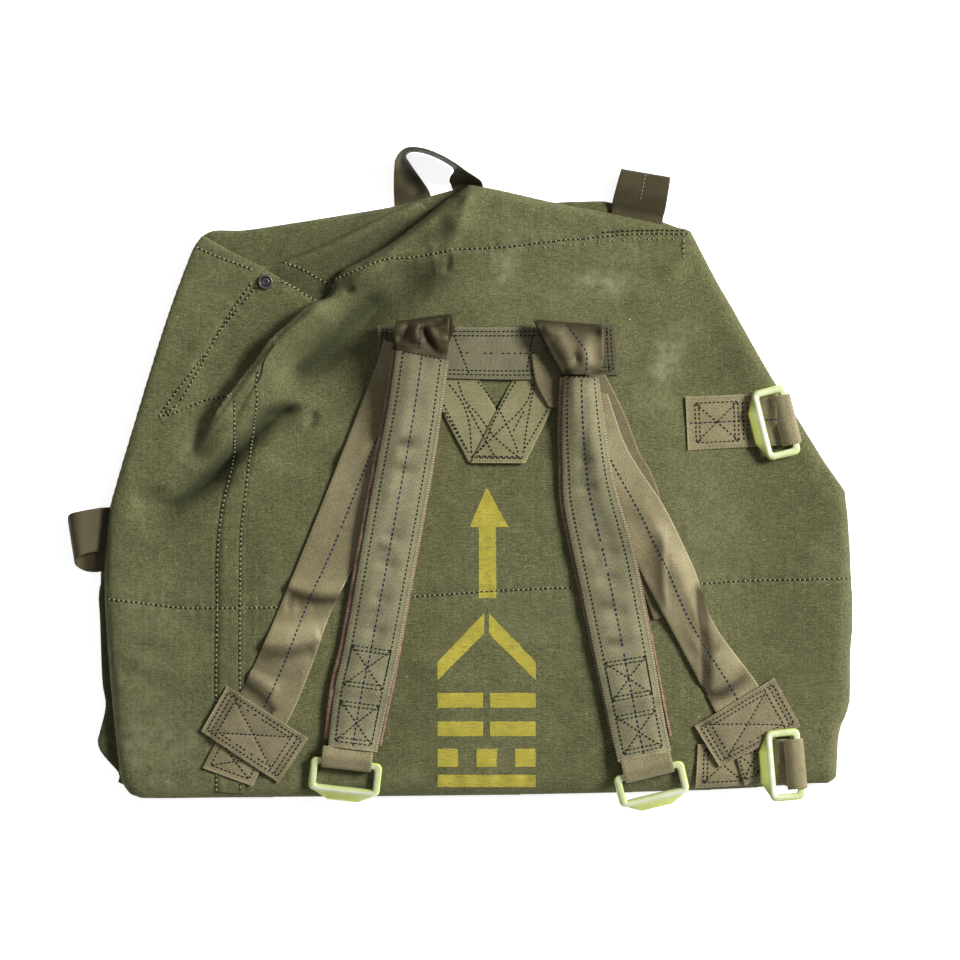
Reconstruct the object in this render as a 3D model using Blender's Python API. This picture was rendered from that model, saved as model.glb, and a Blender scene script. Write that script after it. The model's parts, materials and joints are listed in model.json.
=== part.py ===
"""Parachute carrying bag that lies flat on its back, carrying harness uppermost.

X runs to the right across the front, Y up the front, Z away from the surface that the bag lies on.
Lengths and places are in millimetres, and become metres where a mesh is made.
The layers lie on each other: back sheet, folded gusset, filled body, then the webbing of the harness.
"""

import math

import bpy
import numpy as np
from mathutils import Matrix, Vector
from mathutils.bvhtree import BVHTree
from mathutils.geometry import delaunay_2d_cdt

MM = 0.001
GAP = 0.3  # air between layers that lie face to face
CLEAR = 0.55  # air under draped webbing
SHEET = 3.0  # thickness of the back sheet and of the folded gusset
LOOP_WEB = 1.25  # thickness of the loops' webbing, whose two ends lie in one layer
WEB = 2.0  # thickness of the strap webbing
WEB_WIDTH = 44.0
FELT = 6.0
COVER = 2.2
GUSSET_Z = SHEET + GAP
BODY_Z = GUSSET_Z + SHEET + GAP
RIM = 3.2  # height of the body's upright edge
SKY = 400.0  # height from which the draping looks down
FOOT_INSET = 1.6  # how far the body's underside stands in from its edge

# ---------------------------------------------------------------- outlines, x and y in millimetres

EDGE_BOTTOM = ((-297, -268), (-288, -279), (-268, -281), (-190, -280), (-53, -279), (88, -277),
               (202, -274), (249, -272), (305, -268), (323, -268))
EDGE_RIGHT = ((331, -262), (333, -223), (342, -198), (343, -155), (345, -121), (343, -71), (341, -36),
              (338, -10))
EDGE_SLANT = ((319, 17), (303, 43), (270, 96), (240, 149), (225, 175), (209, 206))
EDGE_TOP = ((202, 219), (176, 225), (132, 234), (88, 242), (35, 254), (19, 257), (7, 259))
EDGE_MOUTH = ((-12, 246), (-36, 227), (-64, 206), (-96, 188), (-109, 181), (-112, 170), (-120, 157))
EDGE_HEM = ((-128, 158), (-150, 172), (-174, 187), (-203, 202), (-226, 215))
EDGE_LEFT = ((-229, 213), (-236, 202), (-256, 149), (-273, 96), (-289, 43), (-302, -1), (-310, -33),
             (-313, -79), (-312, -124), (-308, -177), (-303, -231), (-299, -261))
BODY_EDGES = (EDGE_BOTTOM, EDGE_RIGHT, EDGE_SLANT, EDGE_TOP, EDGE_MOUTH, EDGE_HEM, EDGE_LEFT)

BACK_EDGE = ((-292, -270), (-190, -277), (88, -274), (300, -265), (324, -262), (330, -225), (339, -196),
             (341, -121), (339, -40), (334, -10), (302, 40), (240, 144), (206, 206), (199, 217),
             (176, 227), (133, 243), (101, 244), (70, 244), (19, 254), (3, 256), (-26, 249), (-58, 240),
             (-105, 232), (-149, 225), (-190, 219), (-222, 217), (-236, 196), (-256, 143), (-287, 43),
             (-306, -20), (-316, -75), (-315, -124), (-312, -177), (-309, -200), (-312, -226), (-306, -244),
             (-299, -258))

GUSSET_EDGE = ((-290, -264), (-190, -272), (88, -269), (296, -260), (330, -196), (334, -110), (325, -20),
               (238, 136), (198, 196), (130, 200), (20, 214), (-22, 230), (-36, 243), (-61, 234),
               (-103, 214), (-149, 194), (-172, 187), (-214, 196), (-252, 120), (-284, 24), (-288, 8),
               (-276, -6), (-276, -46), (-277, -86), (-298, -91), (-314, -89), (-318, -102), (-317, -124),
               (-315, -177), (-312, -199), (-317, -222), (-319, -230), (-316, -240), (-302, -256))

# Height of the filled body above its underside, and how far in from the edge it rolls over.
CROWN = (
    # x, y, height, roll
    (-290, -255, 13, 13),
    (-290, -150, 15, 15),
    (-300, -50, 11, 12),
    (-270, 60, 8, 10),
    (-240, 160, 6, 8),
    (-222, 200, 4.5, 5),
    (-175, 172, 5, 5),
    (-132, 148, 6, 5),
    (-205, 100, 8, 8),
    (-160, -20, 22, 18),
    (-160, -150, 24, 20),
    (-150, -268, 17, 17),
    (0, -268, 19, 18),
    (0, -150, 29, 22),
    (0, 0, 31, 22),
    (20, 120, 27, 22),
    (-70, 180, 21, 14),
    (0, 225, 22, 15),
    (100, 205, 17, 14),
    (192, 206, 7, 9),
    (120, 110, 26, 20),
    (150, 0, 31, 22),
    (150, -150, 29, 22),
    (150, -265, 18, 18),
    (300, -245, 14, 14),
    (322, -130, 16, 15),
    (318, -20, 14, 14),
    (262, 60, 16, 14),
    (238, 130, 12, 12),
)
CROWN_REACH = 52.0  # spread of each crown point

# Folds and troughs: height at the middle of the line, spread to its left and to its right (looking
# along the line), how much it fades towards its start and its end, and the line itself.
FOLDS = (
    # name, height, spread left, spread right, fade at start, fade at end, line
    ("big fold", 17.0, 30.0, 4.5, 0.10, 0.30,
     ((-112, 160), (-122, 152), (-135, 143), (-147, 131), (-161, 120), (-172, 104), (-184, 89),
      (-198, 71), (-209, 55), (-225, 30), (-240, 8))),
    ("mouth roll", 8.0, 16.0, 16.0, 0.20, 0.25,
     ((-2, 248), (-40, 214), (-75, 186), (-108, 160))),
    ("upper trough", -11.0, 13.0, 15.0, 0.25, 0.20,
     ((2, 196), (-12, 190), (-43, 168), (-77, 145), (-110, 116), (-144, 92), (-158, 78))),
    ("lower trough", -10.0, 9.0, 11.0, 0.08, 0.20,
     ((-290, -17), (-255, -21), (-221, 1), (-193, 27), (-169, 51), (-139, 62))),
    ("lip under the trough", 4.5, 14.0, 14.0, 0.25, 0.25,
     ((-270, -44), (-240, -38), (-205, -14), (-178, 12), (-150, 34))),
    ("peak crease", 4.0, 9.0, 14.0, 0.15, 0.40,
     ((8, 252), (6, 232), (-4, 206))),
    ("right crease", 3.0, 12.0, 14.0, 0.30, 0.35,
     ((206, 186), (178, 168), (140, 150))),
    ("slant hollow", -3.0, 16.0, 12.0, 0.30, 0.35,
     ((255, 110), (222, 100), (190, 84), (160, 78))),
    ("side wave", 2.5, 18.0, 18.0, 0.30, 0.40,
     ((336, -70), (290, -92), (236, -104))),
    ("bottom wave", 2.5, 20.0, 20.0, 0.35, 0.35,
     ((-60, -210), (10, -222), (90, -214))),
    ("left wave", 2.5, 16.0, 16.0, 0.35, 0.35,
     ((-292, -120), (-255, -140), (-225, -190))),
    ("seam hollow", -2.0, 10.0, 10.0, 0.30, 0.30,
     ((-185, -30), (-190, -90), (-189, -150))),
)
OVERHANG = 7.0  # how far the big fold's crest leans over the side panel
LEAN_X, LEAN_Y = -0.72, 0.69  # the direction in which it leans

# Where the body's face carries its points.
OUTLINE_STEP = 11.0
EDGE_RINGS = ((2.2, 1), (7.0, 1), (14.0, 2))  # depth from the edge, and every how manieth point it keeps
CREST_STEP = 8.0
CREST_SHIFTS = (-8.0, -3.5, 0.5, 6.0, 13.0)  # rows of points beside the big fold's line
TROUGH_STEP = 8.0
TROUGH_SHIFTS = (-8.0, 0.0, 8.0)  # rows of points beside the line of a trough
TROUGHS = ("upper trough", "lower trough", "lip under the trough")
EDGE_MARGIN = 4.0  # least distance of those rows from the outline
ROW_GAP = 3.2  # least distance between points of two rows
LATTICES = ((9.0, 30.0), (19.0, 1000.0))  # spacing, and how near to a fold it is used
LATTICE_GAP = 0.62  # least distance from other points, as a share of the spacing
FOLDS_WITH_LATTICE = 5
LATTICE_X, LATTICE_Y = (-345, 350), (-285, 265)
SHEET_STEP = 24.0  # spacing of the points round the two flat sheets

# ---------------------------------------------------------------- materials

FINISHES = {
    # slot: colour, roughness, metallic
    "canvas": ((0.098, 0.107, 0.045, 1), 0.9, 0.0),
    "webbing": ((0.150, 0.115, 0.062, 1), 0.7, 0.0),
    "yoke_web": ((0.115, 0.105, 0.070, 1), 0.8, 0.0),
    "strap_cover": ((0.130, 0.125, 0.065, 1), 0.85, 0.0),
    "felt": ((0.230, 0.120, 0.090, 1), 1.0, 0.0),
    "zinc": ((0.620, 0.680, 0.240, 1), 0.35, 0.8),
    "snap": ((0.030, 0.030, 0.035, 1), 0.4, 0.9),
}


def material(slot):
    found = bpy.data.materials.get(slot)
    if found:
        return found
    colour, roughness, metallic = FINISHES[slot]
    made = bpy.data.materials.new(slot)
    made.use_nodes = True
    shader = made.node_tree.nodes["Principled BSDF"]
    shader.inputs["Base Color"].default_value = colour
    shader.inputs["Roughness"].default_value = roughness
    shader.inputs["Metallic"].default_value = metallic
    return made


# ---------------------------------------------------------------- curves and solids

def curve(points, step, closed=False):
    """Points at even steps on a smooth curve through the given ones."""
    known = [np.array(p, float) for p in points]
    count = len(known)
    fine = []
    for i in range(count if closed else count - 1):
        before = known[i - 1] if closed or i else 2 * known[0] - known[1]
        here, there = known[i], known[(i + 1) % count]
        last = i + 2 >= count and not closed
        after = 2 * known[-1] - known[-2] if last else known[(i + 2) % count]
        for t in np.arange(16) / 16:
            fine.append(0.5 * (2 * here + (there - before) * t
                               + (2 * before - 5 * here + 4 * there - after) * t ** 2
                               + (3 * here - before - 3 * there + after) * t ** 3))
    fine.append(known[0] if closed else known[-1])
    fine = np.array(fine)
    run = np.concatenate([[0], np.cumsum(np.linalg.norm(np.diff(fine, axis=0), axis=1))])
    steps = max(1, round(run[-1] / step))
    stations = np.linspace(0, run[-1], steps + 1)
    spots = np.stack([np.interp(stations, run, fine[:, k]) for k in range(fine.shape[1])], axis=1)
    return spots[:-1] if closed else spots


def resampled(points, shares):
    """Points at the given shares of a smooth curve's length."""
    fine = curve(points, 2.0)
    run = np.linspace(0, 1, len(fine))
    return np.stack([np.interp(shares, run, fine[:, k]) for k in range(fine.shape[1])], axis=1)


def solid(name, points, triangles, slot, smooth=True):
    """One object from points in millimetres and triangles that all face the same way."""
    points, triangles = np.array(points, float), np.array(triangles, int)
    a, b, c = (points[triangles[:, k]] for k in range(3))
    if np.einsum("ij,ij->i", a, np.cross(b, c)).sum() < 0:
        triangles = triangles[:, ::-1]
    mesh = bpy.data.meshes.new(name)
    mesh.from_pydata([tuple(c * MM for c in p) for p in points], [], [tuple(map(int, t)) for t in triangles])
    mesh.materials.append(material(slot))
    mesh.validate()
    made = bpy.data.objects.new(name, mesh)
    bpy.context.scene.collection.objects.link(made)
    if smooth:
        mesh.shade_smooth()
        mesh.set_sharp_from_angle(angle=math.radians(40))
    return made


def two_sided(top, bottom, columns):
    """Triangles of a slab between two equal grids of points, given row by row."""
    rows = len(top) // columns
    size = len(top)
    faces = []
    for i in range(rows - 1):
        for j in range(columns - 1):
            a, b = i * columns + j, (i + 1) * columns + j
            c, d = b + 1, a + 1
            faces += [(a, b, c), (a, c, d)]
            faces += [(size + a, size + c, size + b), (size + a, size + d, size + c)]
    ring = ([i * columns for i in range(rows)]
            + [(rows - 1) * columns + j for j in range(1, columns)]
            + [i * columns + columns - 1 for i in range(rows - 2, -1, -1)]
            + [j for j in range(columns - 2, 0, -1)])
    for a, b in zip(ring, ring[1:] + ring[:1]):
        faces += [(b, a, size + a), (b, size + a, size + b)]
    return list(top) + list(bottom), faces


# ---------------------------------------------------------------- the filled body's shape

def across(line, spots):
    """Signed distance of each spot from a line (left of it is positive), and its share along it."""
    line = np.array(line, float)
    legs = np.diff(line, axis=0)
    lengths = np.linalg.norm(legs, axis=1)
    runs = np.concatenate([[0], np.cumsum(lengths)])
    best = np.full(len(spots), np.inf)
    side = np.zeros(len(spots))
    share = np.zeros(len(spots))
    for start, leg, length, run in zip(line, legs, lengths, runs):
        away = spots - start
        t = np.clip(away @ leg / length ** 2, 0, 1)
        off = away - t[:, None] * leg
        distance = np.linalg.norm(off, axis=1)
        nearer = distance < best
        best[nearer] = distance[nearer]
        turn = leg[0] * away[:, 1] - leg[1] * away[:, 0]
        side[nearer] = np.sign(turn)[nearer]
        share[nearer] = ((run + t * length) / runs[-1])[nearer]
    return best * side, share


def fade(share, start, end):
    """1 in the middle of a line, falling to 0 over the given shares at its two ends."""
    ramp = np.clip(share / start, 0, 1) * np.clip((1 - share) / end, 0, 1)
    return ramp ** 2 * (3 - 2 * ramp)


def body_outline(step):
    """The body's edge, counter-clockwise, with a corner wherever two of its curves meet."""
    return np.concatenate([curve(edge, step) for edge in BODY_EDGES])


def body_height(spots, outline):
    """Height above the body's underside."""
    table = np.array(CROWN, float)
    away = np.linalg.norm(spots[:, None, :] - table[None, :, :2], axis=2)
    weight = np.exp(-away ** 2 / (2 * CROWN_REACH ** 2)) + 1e-9
    crown = weight @ table[:, 2] / weight.sum(axis=1)
    roll = weight @ table[:, 3] / weight.sum(axis=1)
    for _, rise, left, right, start, end, line in FOLDS:
        off, share = across(line, spots)
        spread = np.where(off > 0, left, right)
        crown = crown + rise * np.exp(-(off / spread) ** 2) * fade(share, start, end)
    closed = np.vstack([outline, outline[:1]])
    edge = np.abs(across(closed, spots)[0])
    inward = 1 - np.clip(edge / roll, 0, 1)
    return RIM + (np.maximum(crown, RIM + 0.8) - RIM) * np.sqrt(np.clip(1 - inward ** 2, 0, 1))


def body_lean(spots):
    """Sideways shift that lays the big fold's crest over the side panel."""
    _, _, left, right, start, end, line = FOLDS[0]
    off, share = across(line, spots)
    amount = np.where(off > 0, np.exp(-(off / left) ** 2), np.clip(1 + off / right, 0, 1))
    amount = amount * fade(share, start, end) * OVERHANG
    return np.stack([amount * LEAN_X, amount * LEAN_Y], axis=1)


def inside(outline, spots):
    """Which spots lie inside a closed outline."""
    result = np.zeros(len(spots), bool)
    x, y = spots[:, 0], spots[:, 1]
    for (x1, y1), (x2, y2) in zip(outline, np.roll(outline, -1, axis=0)):
        if y1 != y2:
            crossing = (y1 > y) != (y2 > y)
            result ^= crossing & (x < (x2 - x1) * (y - y1) / (y2 - y1) + x1)
    return result


def lattice(step):
    """A staggered grid of spots over the whole bag."""
    rows = []
    row_step = step * math.sin(math.radians(60))
    for k, y in enumerate(np.arange(*LATTICE_Y, row_step)):
        xs = np.arange(*LATTICE_X, step) + (step / 2) * (k % 2)
        rows.append(np.stack([xs, np.full(len(xs), y)], axis=1))
    return np.concatenate(rows)


def inward_of(outline):
    """The direction into a closed outline at each of its points."""
    nearby = np.roll(outline, -1, axis=0) - np.roll(outline, 1, axis=0)
    inward = np.stack([-nearby[:, 1], nearby[:, 0]], axis=1)
    return inward / np.linalg.norm(inward, axis=1)[:, None]


def beside(line, step, shift):
    """Points at even steps along a line, moved to its left."""
    fine = curve(line, step)
    heading = np.gradient(fine, axis=0)
    heading = heading / np.linalg.norm(heading, axis=1)[:, None]
    return fine + np.stack([-heading[:, 1], heading[:, 0]], axis=1) * shift


def distance_to(taken, spots):
    """Distance of each spot to the nearest one of those taken."""
    return np.linalg.norm(spots[:, None, :] - taken[None, :, :], axis=2).min(axis=1)


def body_spots(outline):
    """Spots on the body's face: rings near its edge, rows along its folds, a grid between."""
    closed = np.vstack([outline, outline[:1]])
    inward = inward_of(outline)
    taken = outline
    for depth, every in EDGE_RINGS:
        ring = (outline + inward * depth)[::every]
        keep = inside(outline, ring) & (np.abs(across(closed, ring)[0]) > depth * 0.85)
        taken = np.concatenate([taken, ring[keep]])
    rows = [(FOLDS[0][6], CREST_STEP, shift) for shift in CREST_SHIFTS]
    for name in TROUGHS:
        line = next(fold[6] for fold in FOLDS if fold[0] == name)
        rows += [(line, TROUGH_STEP, shift) for shift in TROUGH_SHIFTS]
    for line, step, shift in rows:
        row = beside(line, step, shift)
        keep = inside(outline, row) & (np.abs(across(closed, row)[0]) > EDGE_MARGIN)
        row = row[keep]
        taken = np.concatenate([taken, row[distance_to(taken, row) > ROW_GAP]])
    for step, reach in LATTICES:
        grid = lattice(step)
        near = np.min([np.abs(across(fold[6], grid)[0]) for fold in FOLDS[:FOLDS_WITH_LATTICE]], axis=0)
        grid = grid[(near < reach) & inside(outline, grid)]
        taken = np.concatenate([taken, grid[distance_to(taken, grid) > step * LATTICE_GAP]])
    return taken


def triangulated(spots, outline_count):
    """Triangles over the spots, kept inside the outline that their first ones form."""
    ring = list(range(outline_count))
    points, _, faces, _, _, _ = delaunay_2d_cdt([Vector(p) for p in spots], [], [ring], 1, 1e-4)
    return np.array(points), np.array([list(face) for face in faces])


def build_body():
    outline = body_outline(OUTLINE_STEP)
    spots, faces = triangulated(body_spots(outline), len(outline))
    count = len(outline)
    top_z = BODY_Z + body_height(spots, outline)
    leaned = spots + body_lean(spots)
    top = np.column_stack([leaned, top_z])
    foot = np.column_stack([outline + inward_of(outline) * FOOT_INSET, np.full(count, BODY_Z)])
    _, under = triangulated(foot[:, :2], count)
    size = len(top)
    triangles = [tuple(face) for face in faces] + [(size + a, size + c, size + b) for a, b, c in under]
    for a in range(count):
        b = (a + 1) % count
        triangles += [(a, size + a, size + b), (a, size + b, b)]
    return solid("bag_body", np.concatenate([top, foot]), triangles, "canvas")


def build_sheet(name, edge, low):
    """A flat sheet of canvas with a closed outline."""
    outline = curve(edge, SHEET_STEP, closed=True)
    count = len(outline)
    _, faces = triangulated(outline, count)
    top = np.column_stack([outline, np.full(count, low + SHEET)])
    bottom = np.column_stack([outline, np.full(count, low)])
    triangles = [tuple(face) for face in faces] + [(count + a, count + c, count + b) for a, b, c in faces]
    for a in range(count):
        b = (a + 1) % count
        triangles += [(a, count + a, count + b), (a, count + b, b)]
    return solid(name, np.concatenate([top, bottom]), triangles, "canvas", smooth=False)


# ---------------------------------------------------------------- draping

class Bed:
    """What lies under a draped piece, seen from above."""

    def __init__(self, objects):
        points, faces = [], []
        for thing in objects:
            offset = len(points)
            points += [tuple(c / MM for c in thing.matrix_world @ v.co) for v in thing.data.vertices]
            faces += [[offset + k for k in face.vertices] for face in thing.data.polygons]
        self.tree = BVHTree.FromPolygons(points, faces)

    def height(self, x, y):
        hit = self.tree.ray_cast(Vector((x, y, SKY)), Vector((0, 0, -1)))[0]
        return hit.z if hit else 0.0


SAMPLES = 22  # places along each side of a cell at which the bed is felt
SETTLE_ROUNDS = 150
SMOOTH_ROUNDS = 6
TOUCH = 0.02  # depth below the bed that counts as lying on it
UNSET = -1e9


def settled(plan, bed, clear, sag):
    """Heights at which a sheet over the plan's grid lies on the bed without cutting it.

    It spans hollows like stiff webbing. sag is how far each row may fall below its neighbours' middle.
    """
    rows, columns = plan.shape[:2]
    shares = (np.arange(SAMPLES) + 0.5) / SAMPLES
    floor = np.zeros((rows - 1, columns - 1, SAMPLES, SAMPLES))
    for i in range(rows - 1):
        for j in range(columns - 1):
            a, b, c, d = plan[i, j], plan[i + 1, j], plan[i + 1, j + 1], plan[i, j + 1]
            for p, u in enumerate(shares):
                for q, v in enumerate(shares):
                    x, y = (a * (1 - u) + b * u) * (1 - v) + (d * (1 - u) + c * u) * v
                    floor[i, j, p, q] = bed.height(x, y)
    low = np.array([[bed.height(*spot) for spot in row] for row in plan]) + clear
    u, v = np.meshgrid(shares, shares, indexing="ij")
    lower = u >= v  # samples in each cell's first triangle
    weights = np.stack([np.where(lower, 1 - u, 1 - v), np.where(lower, u - v, 0), np.where(lower, v, u),
                        np.where(lower, 0, v - u)]).reshape(4, -1)
    floor = floor.reshape(rows - 1, columns - 1, -1) + clear
    for _ in range(SETTLE_ROUNDS):
        z = low.copy()
        for _ in range(SMOOTH_ROUNDS):
            middle = z.copy()
            middle[1:-1] = (z[:-2] + z[2:]) / 2 - sag
            z = np.maximum(middle, low)
        corners = np.stack([z[:-1, :-1], z[1:, :-1], z[1:, 1:], z[:-1, 1:]], axis=-1)
        short = floor - corners @ weights
        worst = short.argmax(axis=2)
        depth = np.take_along_axis(short, worst[..., None], axis=2)[..., 0]
        if depth.max() < TOUCH:
            break
        share = weights[:, worst]
        raised = np.clip(depth, 0, None) * share / (share ** 2).sum(axis=0)
        parts = (low[:-1, :-1], low[1:, :-1], low[1:, 1:], low[:-1, 1:])
        for part, corner, rise in zip(parts, np.moveaxis(corners, -1, 0), raised):
            np.maximum(part, np.where(rise > 0, corner + rise, UNSET), out=part)
    return z


def plan_grid(left, right, step, columns):
    """Rows of spots between two edge curves."""
    length = len(curve(left, 2.0)) * 2.0
    shares = np.linspace(0, 1, max(2, round(length / step) + 1))
    a, b = resampled(left, shares), resampled(right, shares)
    v = np.linspace(0, 1, columns)
    return a[:, None, :] * (1 - v[None, :, None]) + b[:, None, :] * v[None, :, None]


SAG = 0.25
CREASE_HALF = 0.45  # half the width of a lengthwise crease, as a share of the webbing's width


def draped(name, left, right, thickness, slot, bed, step=13.0, columns=4, thin_edge=0.0, crease=None,
           clear=CLEAR):
    """Webbing or felt laid over the bed. Its plan lies between two edge curves, left and right of its run."""
    plan = plan_grid(left, right, step, columns)
    z = settled(plan, bed, clear, SAG)
    rows = len(plan)
    if crease:
        shares = np.linspace(0, 1, rows)
        along, place, height = zip(*crease)
        rise = np.interp(shares, along, height)
        where = np.interp(shares, along, place)
        v = np.linspace(0, 1, columns)
        z = z + rise[:, None] * np.clip(1 - np.abs(v[None, :] - where[:, None]) / CREASE_HALF, 0, 1)
    v = np.linspace(-1, 1, columns)
    depth = thickness - thin_edge * np.abs(v) ** 3
    bottom = np.column_stack([plan.reshape(-1, 2), z.reshape(-1)])
    top = np.column_stack([plan.reshape(-1, 2), (z + depth[None, :]).reshape(-1)])
    return solid(name, *two_sided(top, bottom, columns), slot)


def ribbon(name, left, right, thickness, slot, columns=2):
    """A band between two edge curves in space, thickened evenly to both sides."""
    left, right = np.array(left, float), np.array(right, float)
    v = np.linspace(0, 1, columns)
    middle = left[:, None, :] * (1 - v[None, :, None]) + right[:, None, :] * v[None, :, None]
    along = np.gradient(middle, axis=0)
    over = np.broadcast_to((right - left)[:, None, :], middle.shape)
    normal = np.cross(over, along)
    normal = normal / np.linalg.norm(normal, axis=2)[:, :, None]
    top = (middle + normal * thickness / 2).reshape(-1, 3)
    bottom = (middle - normal * thickness / 2).reshape(-1, 3)
    return solid(name, *two_sided(top, bottom, columns), slot)


# ---------------------------------------------------------------- buckles

RING = 14  # points in one ring round the frame
BUCKLE_HALF = 31.5  # half of the frame's width
SLOT_HALF = 25.0
BAR = 3.0  # half depth of the bar that carries the webbing
SLOT_END = 22.0  # from the middle of that bar to the far side of the slot
RIDGE_END = 28.0
LIP_END = 35.0
PLATE = 3.0  # thickness of the frame
RIDGE_RISE = 1.6
FACE_INSET = 1.2  # how far the flat faces stand in from the rounded rim
BAR_INSET = 0.8
PLACE_STEP = 0.25  # steps of height and tilt in which a buckle is tried
HIGHEST_PLACE = 6.0


def buckle_ring(half, near, far, corner, lip, lip_half, height, ridge=0.0):
    """One ring of points round the frame, with a far side that can reach out to a lip."""
    ring = []
    for side, end in ((-1, near), (1, near), (1, far), (-1, far)):
        inward_v = 1 if end == near else -1
        first = (side * half, end + inward_v * corner)
        last = (side * (half - corner), end)
        middle = (side * (half - corner * 0.29), end + inward_v * corner * 0.29)
        leaving = (side < 0) == (end == near)
        spots = (first, middle, last) if leaving else (last, middle, first)
        ring += [(u, v, height + (ridge if end == far else 0.0)) for u, v in spots]
        if side > 0 and end == far:
            ring += [(lip_half, lip, height + ridge), (-lip_half, lip, height + ridge)]
    return ring


def buckle_points():
    """The frame in its own place: the bar along u at v = 0, the lip towards +v, w up."""
    half = PLATE / 2
    face = BUCKLE_HALF - FACE_INSET
    near = BAR_INSET - BAR
    ridge = RIDGE_END - 1.0
    lip = LIP_END - 1.0
    return (buckle_ring(SLOT_HALF, BAR, SLOT_END, 2.0, SLOT_END, 12.0, half - 0.7, 0.9)
            + buckle_ring(face, near, ridge, 5.0, ridge, 13.0, half, RIDGE_RISE)
            + buckle_ring(BUCKLE_HALF, -BAR, RIDGE_END, 5.5, LIP_END, 13.5, 0.0)
            + buckle_ring(face, near, ridge, 5.0, lip, 13.0, -half)
            + buckle_ring(SLOT_HALF, BAR, SLOT_END, 2.0, SLOT_END, 12.0, -half))


def buckle_frame(spot, heading, tilt, height):
    """Matrix, in millimetres, that puts the bar's middle at a spot and points the lip along a heading."""
    run = Vector((math.cos(heading), math.sin(heading), 0))
    over = Vector((run.y, -run.x, 0))
    lip = run * math.cos(tilt) + Vector((0, 0, math.sin(tilt)))
    up = over.cross(lip)
    if up.z < 0:
        over, up = -over, -up
    frame = Matrix((over, lip, up)).transposed().to_4x4()
    frame.translation = Vector((spot[0], spot[1], height))
    return frame


def resting_frame(spot, heading, bed, bar_clear, tilts):
    """The lowest place, and then the lowest tilt, at which the whole frame clears the bed."""
    ring = [Vector(p) for p in buckle_points()[2 * RING:]]
    probes = ring + [a.lerp(b, 0.5) for a, b in zip(ring, ring[1:])]
    level = bed.height(*spot) + bar_clear
    for rise in np.arange(0, HIGHEST_PLACE, PLACE_STEP):
        for tilt in np.arange(tilts[0], tilts[1], PLACE_STEP):
            frame = buckle_frame(spot, heading, math.radians(tilt), level + rise)
            places = [frame @ p for p in probes]
            if all(p.z - bed.height(p.x, p.y) > CLEAR for p in places):
                return frame
    raise ValueError("no place clears the bed")


def build_buckle(name, frame):
    points = buckle_points()
    rings = len(points) // RING
    faces = []
    for k in range(rings):
        here, there = k * RING, (k + 1) % rings * RING
        for i in range(RING):
            after = (i + 1) % RING
            faces += [(here + i, here + after, there + after), (here + i, there + after, there + i)]
    made = solid(name, points, faces, "zinc")
    placed = frame.copy()
    placed.translation = frame.translation * MM
    made.matrix_world = placed
    return made


# ---------------------------------------------------------------- webbing round the buckles' bars

# Path of the webbing's middle round a bar, in the buckle's own v and w.
STRAP_TURN = ((-6.0, 3.2), (0.0, 3.2), (3.7, 2.6), (5.3, 0.0), (3.9, -2.9), (0.0, -3.4), (-6.0, -3.3))
SIDE_TURN = ((3.5, -3.3), (0.0, -3.3), (-3.5, -2.6), (-4.9, 0.0), (-3.5, 2.6), (0.0, 3.2),
             (4.4, 3.2), (8.0, 1.8), (11.5, -0.4))


def turn_edges(frame, turn, half):
    """Both edges in space of webbing that follows a path round a bar."""
    sides = []
    for u in (-half, half):
        sides.append([tuple(frame @ Vector((u, v, w))) for v, w in turn])
    return sides


# ---------------------------------------------------------------- the harness

YOKE = (((-72, 135), (-12, 133), (65, 133), (136, 136)), ((-73, 91), (-12, 88), (63, 87), (139, 91)))
LEG_LEFT = (((-31, 101), (-17, 62), (7, 15)), ((8, 101), (33, 57), (55, 13)))
LEG_RIGHT = (((53, 101), (33, 62), (9, 14)), ((94, 101), (81, 64), (57, 14)))
TAIL_RIGHT = (((62, 109), (66, 84), (77, 63)), ((84, 114), (89, 90), (92, 62)))

SLING_LEFT = (
    ((-67, 122), (-73, 101), (-85, 70), (-130, -44), (-170, -140), (-189, -180), (-214, -230), (-226, -253)),
    ((-23, 108), (-30, 84), (-41, 53), (-86, -61), (-112, -114), (-130, -164), (-147, -205), (-170, -246),
     (-182, -269)),
)
SLING_UNDER_RIGHT = (
    ((90, 92), (106, 42), (128, -16), (148, -70), (159, -97), (169, -123)),
    ((127, 91), (143, 59), (157, 23), (167, 6), (177, -24), (181, -60), (183, -90), (182, -120)),
)
SLING_RIGHT = (
    ((90, 84), (100, 44), (118, 0), (138, -42), (155, -76), (178, -120), (212, -183), (238, -232),
     (243, -250), (249, -269)),
    ((129, 74), (143, 33), (157, 8), (177, -22), (191, -49), (206, -82), (223, -128), (262, -182),
     (268, -206), (267, -232), (262, -262)),
)
SLING_RIGHT_CREASE = (
    # share of the length, share of the width, height
    (0.0, 0.5, 0.0), (0.30, 0.6, 1.0), (0.48, 0.75, 5.0), (0.60, 0.55, 6.5), (0.68, 0.25, 3.0),
    (0.74, 0.2, 0.0), (1.0, 0.5, 0.0))
SLING_LEFT_CREASE = ((0.0, 0.5, 0.0), (0.50, 0.5, 0.0), (0.56, 0.6, 2.5), (0.62, 0.5, 0.5), (0.68, 0.4, 2.5),
                     (0.74, 0.5, 0.0), (1.0, 0.5, 0.0))
ANCHOR_LEFT = (((-204, -181), (-133, -227)), ((-227, -221), (-159, -266)))
ANCHOR_RIGHT = (((205, -216), (275, -174)), ((227, -252), (298, -216)))

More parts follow.
